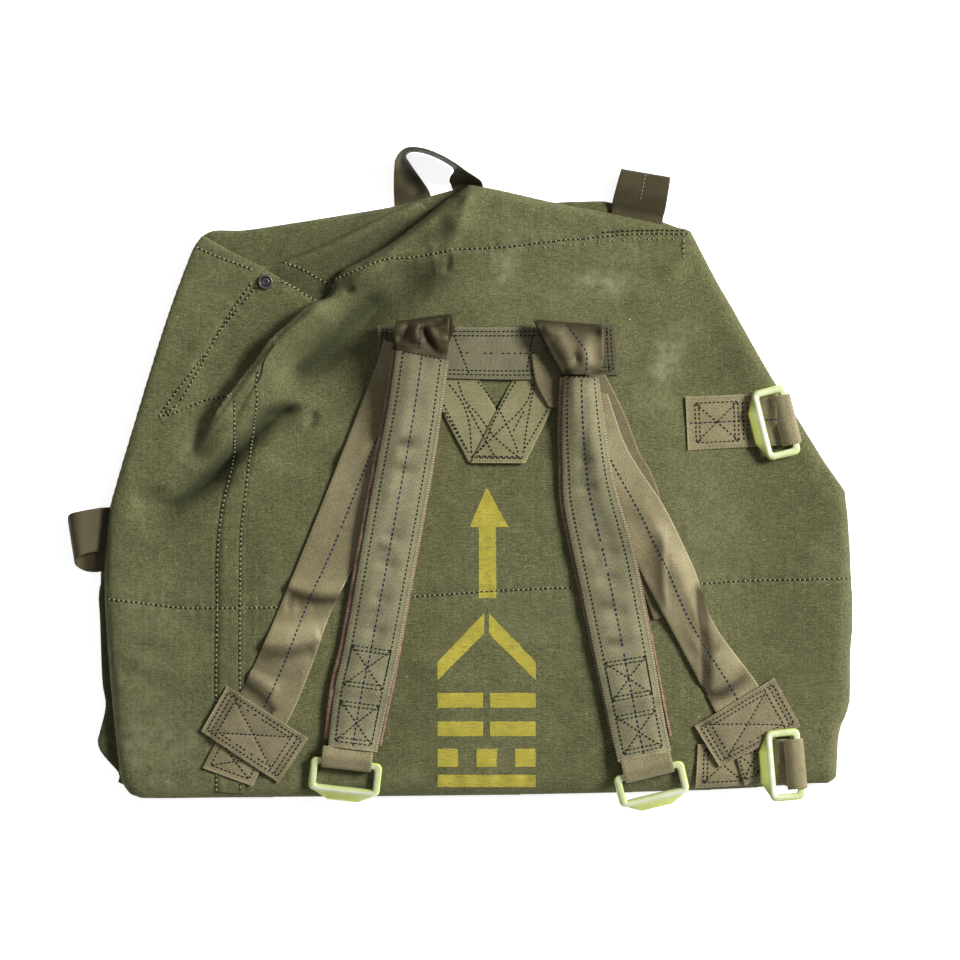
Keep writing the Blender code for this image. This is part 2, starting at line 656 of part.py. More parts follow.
PAD_LEFT = (
    ((-59, 115), (-66, 67), (-78, 6), (-105, -142), (-114, -180), (-120, -232)),
    ((-10, 105), (-15, 67), (-24, 6), (-53, -156), (-61, -195), (-70, -238)),
)
PAD_RIGHT = (
    ((87, 91), (85, 47), (86, 6), (88, -28), (104, -101), (118, -165), (131, -222), (135, -240)),
    ((121, 90), (125, 56), (134, 0), (151, -59), (165, -123), (175, -174), (183, -216), (186, -229)),
)
COVER_INSET = (0.07, 0.98)  # the cover's two edges, as shares of the felt's width
COVER_START = 0.03  # the cover's two ends, as shares of the felt's length
COVER_END = 0.993
STRAP_BAR_CLEAR = 6.4  # height of a shoulder buckle's bar above the front
SIDE_BAR_CLEAR = 3.1  # height of a side buckle's bar above its webbing
SIDE_TILTS = (-5, 7)
HEAD_STACK = {
    # left edge, right edge, share of the way up from the lower leg to the upper one
    "left": (
        ((-60, 99), (-14, 96), 0.0), ((-59, 118), (-12, 114), 0.0), ((-57.5, 130), (-10, 133), 0.02),
        ((-57, 134.6), (-9.4, 140.4), 0.13), ((-56.5, 137), (-8, 143.5), 0.5),
        ((-57, 134.6), (-8.8, 140.4), 0.87), ((-57.5, 129), (-9.6, 132), 1.0),
        ((-58.2, 120), (-10.5, 115), 1.0), ((-58.6, 114.5), (-10.8, 107), 1.0)),
    "right": (
        ((75, 100), (116, 97), 0.0), ((72, 116), (119, 114), 0.0), ((68, 129), (121.5, 126), 0.02),
        ((65.5, 135), (123, 131), 0.13), ((64, 138.6), (124, 133.8), 0.5),
        ((66, 135.6), (124.5, 131.5), 0.87), ((70, 128), (125, 124), 1.0),
        ((79, 110), (125, 107), 1.0), ((87, 93), (121, 91), 1.0)),
}
STRAP_BARS = {
    # middle of the buckle's bar, heading of its lip in degrees, lowest and highest tilt tried
    "left": ((-99.5, -248.5), -96.5, (-16, 10)),
    "right": ((164.7, -255.5), -76.5, (-18, 10)),
}
STRIP_STATIONS = 14
HEAD_REACH = 8.0  # how far round a folded head's lower leg the bed is felt
OVERLAP_REACH = 4.0  # how far round its upper leg's end the felt is felt
END_GAP = 0.95  # from the felt's end to the webbing that turns round the buckle's bar
UPPER_END = 1.2  # height of that webbing's upper end above the felt's top
LOWER_END = 2.2  # depth of its lower end below the felt's top


def cut(edges, start, end):
    """The part of a strip between two shares of its length."""
    return tuple(resampled(edge, np.linspace(start, end, STRIP_STATIONS)) for edge in edges)


def inset(edges, first, last):
    """A strip between two shares of another one's width."""
    shares = np.linspace(0, 1, STRIP_STATIONS)
    left, right = resampled(edges[0], shares), resampled(edges[1], shares)
    return left + (right - left) * first, left + (right - left) * last


def highest(bed, first, last, reach):
    """The highest point of the bed within reach of the line between two spots."""
    heights = []
    for share in np.linspace(-0.05, 1.05, 20):
        x = first[0] + (last[0] - first[0]) * share
        y = first[1] + (last[1] - first[1]) * share
        heights += [bed.height(x, y + shift) for shift in np.linspace(-reach, reach, 9)]
    return max(heights)


def head_level(rows, under):
    """Height of the folded webbing's middle along its lower leg, row by row."""
    return [highest(under, left, right, HEAD_REACH) + CLEAR + WEB / 2 for left, right, _ in rows]


def build_head(name, rows, lows, level):
    """Webbing folded over at the top of a shoulder strap, from its lower leg up to a level."""
    edges = ([], [])
    for (left, right, share), low in zip(rows, lows):
        for edge, (x, y) in zip(edges, (left, right)):
            edge.append((x, y, low + (level - low) * share))
    return ribbon(name, *edges, WEB, "webbing", columns=3)


def sewn_ends(felt, edges, frame):
    """Where the webbing round the bar meets the cover's end and the felt's end, in the buckle's v and w."""
    end = (np.array(edges[0][-1]) + edges[1][-1]) / 2
    run = np.array(frame.col[1][:2])
    run = run / np.linalg.norm(run)
    top = Bed([felt]).height(*(end - run * FELT))
    spot = end + run * END_GAP
    places = []
    for height in (top + UPPER_END, top - LOWER_END):
        place = frame.inverted() @ Vector((spot[0], spot[1], height))
        places.append((place.y, place.z))
    return places


def build_strap(side, edges, under):
    """One padded shoulder strap: felt, cover, folded head, buckle and the webbing round its bar."""
    rows = HEAD_STACK[side]
    spot, heading, tilts = STRAP_BARS[side]
    lows = head_level(rows, Bed(under))
    lower_leg = build_head("guide_head", rows[:3], lows, lows[0])
    felt = draped(f"strap_felt_{side}", *edges, FELT, "felt", Bed(under + [lower_leg]), step=13.5, columns=4,
                  thin_edge=1.8)
    bpy.data.objects.remove(lower_leg)
    cover = cut(inset(edges, *COVER_INSET), COVER_START, COVER_END)
    draped(f"strap_cover_{side}", *cover, COVER, "strap_cover", Bed(under + [felt]), step=13.5, columns=4,
           thin_edge=0.6, clear=GAP + 0.1)
    level = highest(Bed([felt]), rows[-1][0], rows[-1][1], OVERLAP_REACH) + CLEAR + WEB / 2
    build_head(f"strap_head_{side}", rows, lows, level)
    frame = resting_frame(spot, math.radians(heading), Bed(under), STRAP_BAR_CLEAR, tilts)
    build_buckle(f"strap_buckle_{side}", frame)
    upper, lower = sewn_ends(felt, edges, frame)
    turn = turn_edges(frame, (upper, *STRAP_TURN, lower), WEB_WIDTH / 2)
    ribbon(f"strap_end_{side}", *turn, WEB, "webbing", columns=3)


SIDE_STRAPS = {
    # name: webbing's two edges, middle of the bar, heading of the lip in degrees
    "low": (((208, -232), (303, -226)), ((206, -271), (300, -266)), (296.4, -249.2), 185),
    "high": (((197, 72), (292, 76)), ((199, 25), (292, 30)), (288.2, 52.3), 194),
}


SIDE_STEP = 13.0
SIDE_COLUMNS = 4
SIDE_SAG = 0.8
TURN_ROOM = 7.0  # distance from the turn round the bar at which the sewn rows stop


def side_base(name, bed):
    """Grid of the webbing sewn to the front, up to the buckle."""
    left, right, _, _ = SIDE_STRAPS[name]
    plan = plan_grid(left, right, SIDE_STEP, SIDE_COLUMNS)
    z = settled(plan, bed, CLEAR, SIDE_SAG)
    return np.dstack([plan, z])


def build_side_strap(name, base, frame):
    """The sewn webbing and its free end, which turns round the bar and drops back through the slot."""
    edges = turn_edges(frame, SIDE_TURN, WEB_WIDTH / 2)
    if np.linalg.norm(np.array(edges[0][0][:2]) - base[-1, 0, :2]) > WEB_WIDTH / 2:
        edges = edges[::-1]
    v = np.linspace(0, 1, SIDE_COLUMNS)
    left, right = (np.array(edge)[:, None, :] for edge in edges)
    turn = left * (1 - v[None, :, None]) + right * v[None, :, None]
    away = np.linalg.norm(base[:, 1, :2] - turn[0, 1, :2], axis=1)
    keep = (away > TURN_ROOM) & (np.arange(len(base)) < np.argmin(away))
    middle = np.concatenate([base[keep] + (0, 0, WEB / 2), turn])
    along = np.gradient(middle, axis=0)
    over = np.gradient(middle, axis=1)
    normal = np.cross(over, along)
    normal = normal / np.linalg.norm(normal, axis=2)[:, :, None]
    top = (middle + normal * WEB / 2).reshape(-1, 3)
    bottom = (middle - normal * WEB / 2).reshape(-1, 3)
    return solid(f"side_strap_{name}", *two_sided(top, bottom, SIDE_COLUMNS), "webbing")


def flat_guide(name, base):
    """The sewn webbing alone, to drape other pieces on. It isn't part of the bag."""
    top = (base + (0, 0, WEB)).reshape(-1, 3)
    return solid(name, *two_sided(top, base.reshape(-1, 3), base.shape[1]), "webbing")


# ---------------------------------------------------------------- loops and the snap

LOW_LEG = GUSSET_Z + 0.1 + LOOP_WEB / 2
HIGH_LEG = LOW_LEG + LOOP_WEB + GAP

SIDE_LOOP = (
    # one edge, other edge: out over the edge of the bag and back
    ((-291, -24, HIGH_LEG), (-291, -66, HIGH_LEG)),
    ((-312, -25, HIGH_LEG), (-314, -64, HIGH_LEG)),
    ((-322, -26, 10), (-322, -64, 9)),
    ((-333, -28, 17), (-330, -66, 16)),
    ((-341, -30, 18), (-336, -69, 17)),
    ((-344.5, -33, 13), (-338.5, -73, 12)),
    ((-343, -37, 6), (-337, -77, 5)),
    ((-334, -38, 2.7), (-330, -81, 2.5)),
    ((-322, -37, 3.7), (-321, -82, 3.9)),
    ((-312, -36, LOW_LEG), (-313, -81, LOW_LEG)),
    ((-291, -34, LOW_LEG), (-291, -79, LOW_LEG)),
)
TOP_LOOP_LEFT = (
    ((-58.0, 240.95, 1.5), (-26.2, 249.75, 1.5)),
    ((-58.5, 249, 3.5), (-28, 254, 1.6)),
    ((-58.5, 259, 11), (-32, 260, 1.6)),
    ((-58, 270, 23), (-38.5, 269, 1.6)),
    ((-56.5, 279.5, 34), (-44.5, 277.5, 1.6)),
    ((-51.5, 286.5, 40), (-47.5, 283.5, 1.6)),
    ((-43.5, 289.6, 42), (-42.5, 286.2, 1.6)),
    ((-30.5, 288, 43), (-31, 285, 1.6)),
    ((-15.5, 282, 43), (-17.5, 279.5, 1.6)),
    ((-3.5, 275, 41), (-8, 271.5, 1.6)),
    ((6, 268.5, 34), (-10, 265, 1.6)),
    ((13.5, 264.5, 23), (-9.8, 261.5, 1.8)),
    ((18, 261.8, 13), (-8.5, 259.6, 2.0)),
)
TOP_LOOP_RIGHT = (
    ((132, 210, HIGH_LEG), (176, 206, HIGH_LEG)),
    ((133, 236, HIGH_LEG), (178, 228, HIGH_LEG)),
    ((134, 244, 8.5), (180, 236, 8.5)),
    ((137, 256, 12), (182, 248, 12)),
    ((140, 268, 11), (184, 260.5, 11)),
    ((141, 272.4, 7), (184.3, 265, 7)),
    ((140, 268, 3), (184, 260.5, 3)),
    ((137, 257, 2), (182, 250, 2)),
    ((134, 245.5, LOW_LEG), (180, 238, LOW_LEG)),
    ((133, 236, LOW_LEG), (178, 228, LOW_LEG)),
    ((132, 210, LOW_LEG), (176, 206, LOW_LEG)),
)

SNAP_SPOT = (-171, 173)
SNAP_RADIUS = 6.7
SNAP_RINGS = (
    # radius, height
    (0.0, 0.0), (6.2, 0.0), (SNAP_RADIUS, 0.8), (SNAP_RADIUS, 1.8), (5.6, 2.6), (4.2, 2.4), (3.6, 1.7),
    (1.6, 1.9), (0.0, 2.2),
)
SNAP_SIDES = 20


def build_snap(bed):
    """Socket half of a snap fastener: a turned rim with a hollow centre."""
    x, y = SNAP_SPOT
    turns = [2 * math.pi * k / SNAP_SIDES for k in range(SNAP_SIDES)]
    rim = [(x + SNAP_RADIUS * math.cos(a), y + SNAP_RADIUS * math.sin(a)) for a in turns]
    base = max(bed.height(*spot) for spot in rim) + GAP
    points = [(x, y, base + SNAP_RINGS[0][1]), (x, y, base + SNAP_RINGS[-1][1])]
    for radius, rise in SNAP_RINGS[1:-1]:
        points += [(x + radius * math.cos(a), y + radius * math.sin(a), base + rise) for a in turns]
    rings = len(SNAP_RINGS) - 2
    faces = []
    for k in range(SNAP_SIDES):
        after = (k + 1) % SNAP_SIDES
        faces.append((0, 2 + after, 2 + k))
        last = 2 + (rings - 1) * SNAP_SIDES
        faces.append((1, last + k, last + after))
        for ring in range(rings - 1):
            a, b = 2 + ring * SNAP_SIDES + k, 2 + ring * SNAP_SIDES + after
            c, d = b + SNAP_SIDES, a + SNAP_SIDES
            faces += [(a, b, c), (a, c, d)]
    return solid("snap_fastener", points, faces, "snap")


def build_loop(name, rows):
    return ribbon(name, [row[0] for row in rows], [row[1] for row in rows], LOOP_WEB, "webbing", columns=3)


# ---------------------------------------------------------------- the whole bag

def build():
    for thing in list(bpy.data.objects):
        bpy.data.objects.remove(thing)

    build_sheet("bag_back", BACK_EDGE, 0.0)
    build_sheet("bag_gusset", GUSSET_EDGE, GUSSET_Z)
    body = build_body()
    build_snap(Bed([body]))

    leg_left = draped("yoke_leg_left", *LEG_LEFT, WEB, "webbing", Bed([body]))
    leg_right = draped("yoke_leg_right", *LEG_RIGHT, WEB, "webbing", Bed([body, leg_left]))
    yoke = draped("yoke_webbing", *YOKE, WEB, "yoke_web", Bed([body, leg_left, leg_right]), step=12.0)
    chest = [body, leg_left, leg_right, yoke]

    bases = {name: side_base(name, Bed([body])) for name in SIDE_STRAPS}
    guides = [flat_guide(f"guide_{name}", base) for name, base in bases.items()]
    low = chest + guides

    under_right = draped("sling_under_right", *SLING_UNDER_RIGHT, WEB, "webbing", Bed(chest), columns=3)
    sling_left = draped("sling_left", *SLING_LEFT, WEB, "webbing", Bed(chest), crease=SLING_LEFT_CREASE)
    sling_right = draped("sling_right", *SLING_RIGHT, WEB, "webbing", Bed(low + [under_right]),
                         crease=SLING_RIGHT_CREASE)
    anchor_left = draped("anchor_left", *ANCHOR_LEFT, WEB, "webbing", Bed([body, sling_left]), step=10.0)
    anchor_right = draped("anchor_right", *ANCHOR_RIGHT, WEB, "webbing", Bed(low + [sling_right]), step=10.0)
    tail = draped("yoke_tail_right", *TAIL_RIGHT, WEB, "webbing", Bed(chest), columns=3)

    under = chest + [under_right, sling_left, sling_right, tail]
    build_strap("left", PAD_LEFT, under)
    build_strap("right", PAD_RIGHT, under)

    for name, base in bases.items():
        _, _, spot, heading = SIDE_STRAPS[name]
        frame = resting_frame(spot, math.radians(heading), Bed(low + [sling_right, anchor_right]),
                              SIDE_BAR_CLEAR, SIDE_TILTS)
        build_buckle(f"side_buckle_{name}", frame)
        build_side_strap(name, base, frame)

    for guide in guides:
        bpy.data.objects.remove(guide)

    build_loop("side_loop", SIDE_LOOP)
    build_loop("top_loop_left", TOP_LOOP_LEFT)
    build_loop("top_loop_right", TOP_LOOP_RIGHT)


build()
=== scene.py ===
"""A parachute carrying bag of olive canvas, lying flat on its back with its carrying harness uppermost.

Lengths and places are in millimetres in the bag's own frame, and become metres where a mesh is made.
X runs to the right across the front, Y up the front, Z out of the front.
"""

import json
import math

import bmesh
import bpy
import numpy as np
from mathutils import Matrix, Vector
from mathutils.bvhtree import BVHTree
from mathutils.geometry import delaunay_2d_cdt

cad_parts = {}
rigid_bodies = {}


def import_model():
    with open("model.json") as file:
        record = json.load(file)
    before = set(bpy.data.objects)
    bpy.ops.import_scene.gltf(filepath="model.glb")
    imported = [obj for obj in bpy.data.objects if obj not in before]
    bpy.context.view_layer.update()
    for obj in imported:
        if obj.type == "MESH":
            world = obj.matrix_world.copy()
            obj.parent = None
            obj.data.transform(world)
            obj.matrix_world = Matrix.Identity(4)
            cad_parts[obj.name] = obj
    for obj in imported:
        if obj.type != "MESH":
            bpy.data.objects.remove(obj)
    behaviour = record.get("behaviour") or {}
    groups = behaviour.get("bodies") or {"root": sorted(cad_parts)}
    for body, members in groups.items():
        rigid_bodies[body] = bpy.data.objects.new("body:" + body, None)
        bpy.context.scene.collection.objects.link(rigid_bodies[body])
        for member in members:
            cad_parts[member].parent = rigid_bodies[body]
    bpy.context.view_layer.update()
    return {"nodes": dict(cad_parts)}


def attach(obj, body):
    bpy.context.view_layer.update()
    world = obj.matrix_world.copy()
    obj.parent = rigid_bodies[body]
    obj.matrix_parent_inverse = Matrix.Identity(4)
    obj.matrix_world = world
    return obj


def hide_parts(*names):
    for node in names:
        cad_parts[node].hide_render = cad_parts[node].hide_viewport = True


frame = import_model()

MM = 0.001
WEB = 2.0  # thickness of the harness webbing
WEB_WIDTH = 44.0
FELT = 6.0
COVER = 2.2
LOOP_WEB = 1.25
GUSSET_LOW = 3.3
SKY = 400.0  # a height above everything
CHANCE = np.random.default_rng(11)

# ---------------------------------------------------------------- colours, as linear red, green and blue

CANVAS_DARK = (0.088, 0.088, 0.038)
CANVAS_LIGHT = (0.106, 0.105, 0.048)
# Rubbed wear and painted light share the next colour; the one after it is painted shade.
CANVAS_WORN_AND_LIT = (0.190, 0.188, 0.105)
CANVAS_SHADE = (0.020, 0.024, 0.010)
LINT = (0.42, 0.38, 0.20)
FRAYED = (0.36, 0.30, 0.17)
WOVEN_GLINT = (0.95, 0.80, 0.50)
FELT_DARK = (0.150, 0.085, 0.050)
FELT_LIGHT = (0.205, 0.122, 0.074)
# The next colour is the felt's painted shade.
FELT_SHADE = (0.03, 0.02, 0.015)
ZINC_DARK = (0.40, 0.46, 0.20)
ZINC_LIGHT = (0.52, 0.56, 0.34)
ZINC_EDGE = (0.50, 0.56, 0.06)
ZINC_SPECK = (0.22, 0.28, 0.08)
ZINC_BARE = (0.62, 0.63, 0.56)
SNAP_BLACK = (0.012, 0.012, 0.015)
SNAP_BROWN = (0.05, 0.045, 0.04)
SNAP_WORN = (0.11, 0.095, 0.075)
PAINT_DARK = (0.33, 0.28, 0.022)
PAINT_LIGHT = (0.40, 0.34, 0.030)
PAINT_THIN = (0.16, 0.15, 0.035)
FLOOR_DARK = (0.90, 0.90, 0.90)
FLOOR_LIGHT = (0.92, 0.92, 0.92)
WHITE = (1, 1, 1)
# Painted shade: the next shares darken a webbing's colour into its shadow colour.
SHADE_SHARES = (0.08, 0.07, 0.05)  # what is left of a webbing's colour where it is darkest

# ---------------------------------------------------------------- materials

SHEEN_ROUGHNESS = 0.6
WARP_PITCH = 1.05
WEFT_PITCH = 1.0
LINT_SPACING = 21.0
LINT_SIZE = 0.030  # as a share of its spacing
YARN_PITCH = 1.15  # across a webbing
BEAD_PITCH = 2.3  # along a webbing's selvedge


class Look:
    """A procedural material and short ways to add nodes to it."""

    def __init__(self, name, roughness, metallic=0.0, sheen=0.0, sheen_tint=WHITE, shine=0.5):
        self.material = bpy.data.materials.new(name)
        self.material.use_nodes = True
        self.tree = self.material.node_tree
        self.shader = next(n for n in self.tree.nodes if n.type == "BSDF_PRINCIPLED")
        for key, value in (("Roughness", roughness), ("Metallic", metallic), ("Sheen Weight", sheen),
                           ("Sheen Roughness", SHEEN_ROUGHNESS), ("Sheen Tint", sheen_tint),
                           ("Specular IOR Level", shine)):
            self.feed(self.shader.inputs[key], value)

    def feed(self, socket, value):
        if isinstance(value, bpy.types.NodeSocket):
            self.tree.links.new(value, socket)
        else:
            socket.default_value = (*value, 1) if socket.type == "RGBA" else value

    def node(self, kind, inputs=None, **settings):
        made = self.tree.nodes.new(kind)
        for key, value in settings.items():
            setattr(made, key, value)
        for key, value in (inputs or {}).items():
            self.feed(made.inputs[key], value)
        return made

    def maths(self, operation, a, b=0.0):
        return self.node("ShaderNodeMath", {0: a, 1: b}, operation=operation).outputs[0]

    def times(self, a, b):
        return self.maths("MULTIPLY", a, b)

    def plus(self, a, b):
        return self.maths("ADD", a, b)

    def spread(self, value, low, high, to_low=0.0, to_high=1.0):
        """A value carried from one range to another, and held at its ends."""
        made = self.node("ShaderNodeMapRange", {"Value": value, "From Min": low, "From Max": high,
                                                "To Min": to_low, "To Max": to_high})
        return made.outputs["Result"]

    def mix(self, share, a, b):
        """A share of colour b in colour a, which have the node's sixth and seventh sockets."""
        return self.node("ShaderNodeMix", {0: share, 6: a, 7: b}, data_type="RGBA").outputs[2]

    def mapped(self, raw, stretch):
        scale = tuple(k / MM for k in stretch)
        return self.node("ShaderNodeMapping", {"Vector": raw, "Scale": scale}).outputs[0]

    def places(self, stretch=(1, 1, 1)):
        """Millimetre coordinates in the bag's frame."""
        return self.mapped(self.node("ShaderNodeTexCoord").outputs["Object"], stretch)

    def run(self, stretch=(1, 1, 1)):
        """Millimetres across and along a strip of webbing."""
        return self.mapped(self.node("ShaderNodeUVMap", uv_map="run").outputs[0], stretch)

    def parts(self, vector):
        return self.node("ShaderNodeSeparateXYZ", {0: vector}).outputs

    def noise(self, place, size, detail=2.0, rough=0.5):
        """Smooth noise with features about size millimetres wide."""
        return self.node("ShaderNodeTexNoise", {"Vector": place, "Scale": 1.0 / size, "Detail": detail,
                                                "Roughness": rough}).outputs[0]

    def value(self, name):
        """A number stored in the mesh."""
        return self.node("ShaderNodeAttribute", attribute_name=name).outputs["Fac"]

    def wave(self, distance, pitch, wobble=0.0):
        """A sine along a distance, from 0 to 1."""
        phase = self.times(distance, 2 * math.pi / pitch)
        if wobble:
            phase = self.plus(phase, wobble)
        return self.spread(self.maths("SINE", phase), -1, 1)

    def patches(self, noise, colour, other, low=0.3, high=0.7, most=1.0):
        """One colour where a noise is low, and up to a share of another where it is high."""
        return self.mix(self.spread(noise, low, high, 0.0, most), colour, other)

    def mottled(self, colour, noise, darkest, lightest, low=0.3, high=0.7):
        """A colour made darker where a noise is low and lighter where it is high."""
        factor = self.spread(noise, low, high, darkest, lightest)
        return self.node("ShaderNodeHueSaturation", {"Value": factor, "Color": colour}).outputs[0]

    def marked(self, colour, name, other):
        """Another colour where a number stored in the mesh says so."""
        return self.mix(self.value(name), colour, other)

    def finish(self, colour, height, depth, rough=None):
        bump_node = self.node("ShaderNodeBump", {"Height": height, "Strength": 1.0, "Distance": depth * MM})
        self.feed(self.shader.inputs["Base Color"], colour)
        self.feed(self.shader.inputs["Normal"], bump_node.outputs[0])
        if rough is not None:
            self.feed(self.shader.inputs["Roughness"], rough)
        return self.material


def scaled(colour, factors):
    """A colour whose three parts are multiplied, and reach 1 at most."""
    return tuple(min(1.0, part * factor) for part, factor in zip(colour, np.broadcast_to(factors, 3)))


def canvas_look():
    look = Look("canvas_weave", 0.9, sheen=0.02, sheen_tint=(0.8, 0.8, 0.5), shine=0.15)
    place = look.places()
    x, y, _ = look.parts(place)
    middle = look.noise(place, 18, 3.0)
    fine = look.noise(place, 1.1, 2.0, 0.6)
    warps = look.noise(look.places((1.0, 0.15, 1.0)), 0.9, 2.0, 0.6)
    wefts = look.noise(look.places((0.15, 1.0, 1.0)), 0.9, 2.0, 0.6)
    base = look.patches(look.noise(place, 130, 3.0), CANVAS_DARK, CANVAS_LIGHT)
    base = look.mottled(base, middle, 0.90, 1.10)
    base = look.mottled(base, fine, 0.60, 1.40, 0.32, 0.68)
    base = look.mottled(base, warps, 0.86, 1.14)
    base = look.mottled(base, wefts, 0.70, 1.30)
    # The pale number paints rubbed wear and painted light; the dark number paints painted shade.
    wear_and_light = look.times(look.value("pale"), look.spread(look.noise(place, 9, 4.0, 0.7), 0.34, 0.66))
    base = look.mix(wear_and_light, base, CANVAS_WORN_AND_LIT)
    base = look.marked(base, "dark", CANVAS_SHADE)
    lint = look.node("ShaderNodeTexVoronoi", {"Vector": place, "Scale": 1 / LINT_SPACING, "Randomness": 1.0})
    speck = look.maths("LESS_THAN", lint.outputs["Distance"], LINT_SIZE)
    base = look.mix(look.times(speck, look.spread(middle, 0.42, 0.5, 0.0, 0.85)), base, LINT)
    wobble = look.times(look.noise(place, 9, 2.0), 5.0)
    weave = look.times(look.wave(x, WARP_PITCH, wobble), look.wave(y, WEFT_PITCH, wobble))
    yarns = look.plus(look.times(warps, 0.8), look.times(wefts, 1.2))
    height = look.plus(weave, look.plus(look.times(fine, 1.2), yarns))
    return look.finish(base, height, 0.26)


def woven_look(name, dark, light, pitch, lean, satin, weft=0.0, beads=0.5, contrast=0.18, shine=0.3):
    """Narrow woven webbing: twill lines at a slant, or plain ribs, with a beaded selvedge."""
    look = Look(name, satin, sheen=0.02, sheen_tint=(0.95, 0.85, 0.6), shine=shine)
    look.feed(look.shader.inputs["Specular Tint"], WOVEN_GLINT)
    across_mm, along_mm, _ = look.parts(look.run())
    place = look.places()
    fine = look.noise(place, 1.3, 2.0, 0.6)
    threads = look.noise(look.run((0.10, 1.0, 1)), 1.1, 2.0, 0.6)
    slant = look.plus(along_mm, look.times(across_mm, lean))
    ridge = look.wave(slant, pitch, look.times(look.noise(place, 12, 1.0), 2.5))
    base = look.patches(look.noise(place, 40, 2.0), dark, light)
    base = look.mottled(base, look.noise(place, 9, 3.0), 0.93, 1.07)
    base = look.mottled(base, fine, 1 - contrast, 1 + contrast, 0.32, 0.68)
    base = look.mottled(base, threads, 1 - weft, 1 + weft)
    base = look.mottled(base, ridge, 0.80, 1.05, 0.0, 0.7)
    side = look.maths("ABSOLUTE", look.value("side"))
    tick = look.wave(along_mm, BEAD_PITCH, look.times(look.noise(place, 3, 1.0), 3.0))
    bead = look.patches(tick, scaled(dark, 0.45), scaled(light, 1.75), 0.35, 0.65)
    base = look.mix(look.times(look.spread(side, 0.925, 0.955), beads), base, bead)
    groove = look.times(look.spread(side, 0.86, 0.90), look.spread(side, 0.93, 0.91))
    base = look.mottled(base, groove, 1.0, 1 - 0.28 * beads, 0.0, 1.0)
    frayed = look.times(look.value("cut"), look.spread(fine, 0.3, 0.7, 0.15, 0.8))
    base = look.mix(frayed, base, FRAYED)
    # Painted shade where the dark number says, and a painted highlight where the pale one says.
    base = look.marked(base, "dark", scaled(dark, SHADE_SHARES))
    base = look.marked(base, "pale", scaled(light, 1.7))
    weave = look.times(ridge, look.wave(across_mm, YARN_PITCH))
    height = look.plus(weave, look.plus(fine, look.times(threads, weft * 5)))
    return look.finish(base, height, 0.20)


def felt_look():
    look = Look("pink_felt", 0.97, sheen=0.35, sheen_tint=(1.0, 0.8, 0.75))
    place = look.places()
    tufts = look.noise(place, 3.2, 3.0, 0.7)
    fibres = look.noise(look.places((1.0, 0.35, 0.6)), 0.9, 4.0, 0.75)
    base = look.patches(look.noise(place, 26, 3.0), FELT_DARK, FELT_LIGHT, 0.35, 0.65)
    base = look.mottled(base, tufts, 0.62, 1.35, 0.35, 0.65)
    base = look.mottled(base, fibres, 0.75, 1.25, 0.35, 0.7)
    base = look.marked(base, "dark", FELT_SHADE)
    return look.finish(base, look.plus(fibres, tufts), 0.8)


def thread_look(name, colour):
    look = Look(name, 0.6, shine=0.15)
    place = look.places()
    twist = look.noise(place, 0.8, 2.0)
    dull = scaled(colour, 0.45)
    base = look.patches(twist, dull, colour)
    base = look.patches(look.noise(place, 14, 2.0), base, dull, 0.42, 0.62, 0.5)
    return look.finish(base, twist, 0.15)


def zinc_look():
    look = Look("zinc_plate", 0.4, metallic=0.15)
    place = look.places()
    broad = look.noise(place, 12, 3.0)
    fine = look.noise(place, 1.2, 4.0, 0.7)
    base = look.patches(broad, ZINC_DARK, ZINC_LIGHT, 0.35, 0.65)
    base = look.marked(base, "edge", ZINC_EDGE)
    base = look.patches(fine, base, ZINC_SPECK, 0.56, 0.72, 0.6)
    bare = look.times(look.value("worn"), look.spread(broad, 0.25, 0.6, 0.45, 1.0))
    base = look.mix(bare, base, ZINC_BARE)
    return look.finish(base, fine, 0.06, look.spread(fine, 0.3, 0.8, 0.26, 0.5))


def snap_look():
    look = Look("black_brass", 0.42, metallic=0.4)
    fine = look.noise(look.places(), 0.9, 3.0)
    base = look.patches(fine, SNAP_BLACK, SNAP_BROWN, 0.5, 0.75)
    return look.finish(look.marked(base, "worn", SNAP_WORN), fine, 0.08)


def paint_look():
    """Stencil paint that has sunk into the weave and rubbed thin."""
    look = Look("stencil_yellow", 0.8)
    place = look.places()
    x, y, _ = look.parts(place)
    fine = look.noise(place, 1.5, 4.0, 0.75)
    slubs = look.noise(look.places((0.16, 1.6, 1.0)), 1.6, 2.0, 0.6)
    thin = look.plus(look.times(fine, 0.6), look.times(slubs, 0.4))
    base = look.patches(look.noise(place, 16, 3.0), PAINT_DARK, PAINT_LIGHT, 0.35, 0.65)
    base = look.patches(thin, base, PAINT_THIN, 0.48, 0.62, 0.80)
    height = look.plus(look.times(look.wave(x, 0.95), look.wave(y, 0.90)), fine)
    return look.finish(base, height, 0.3)


CANVAS = canvas_look()
WEBBING = woven_look("brown_webbing", (0.148, 0.126, 0.066), (0.205, 0.180, 0.104), 1.7, 0.6, 0.42,
                     contrast=0.24)
LOOPS = woven_look("loop_webbing", (0.036, 0.031, 0.016), (0.058, 0.049, 0.027), 1.7, 0.6, 0.5,
                   beads=0.4, shine=0.2)
PATCH = woven_look("patch_webbing", (0.145, 0.125, 0.072), (0.178, 0.154, 0.092), 1.3, 0.1, 0.8, 0.10,
                   beads=0.7, contrast=0.24)
LEG_CLOTH = woven_look("leg_webbing", (0.165, 0.155, 0.078), (0.195, 0.180, 0.096), 1.3, 0.0, 0.8, 0.10)
YOKE_CLOTH = woven_look("yoke_cloth", (0.118, 0.110, 0.066), (0.145, 0.135, 0.084), 1.1, 0.0, 0.8, 0.08)
COVER_CLOTH = woven_look("ribbed_cover", (0.162, 0.153, 0.088), (0.196, 0.183, 0.108), 1.1, 0.0, 0.62, 0.12,
                         beads=0.9)
FELT_CLOTH = felt_look()
ZINC = zinc_look()
SNAP = snap_look()
PAINT = paint_look()
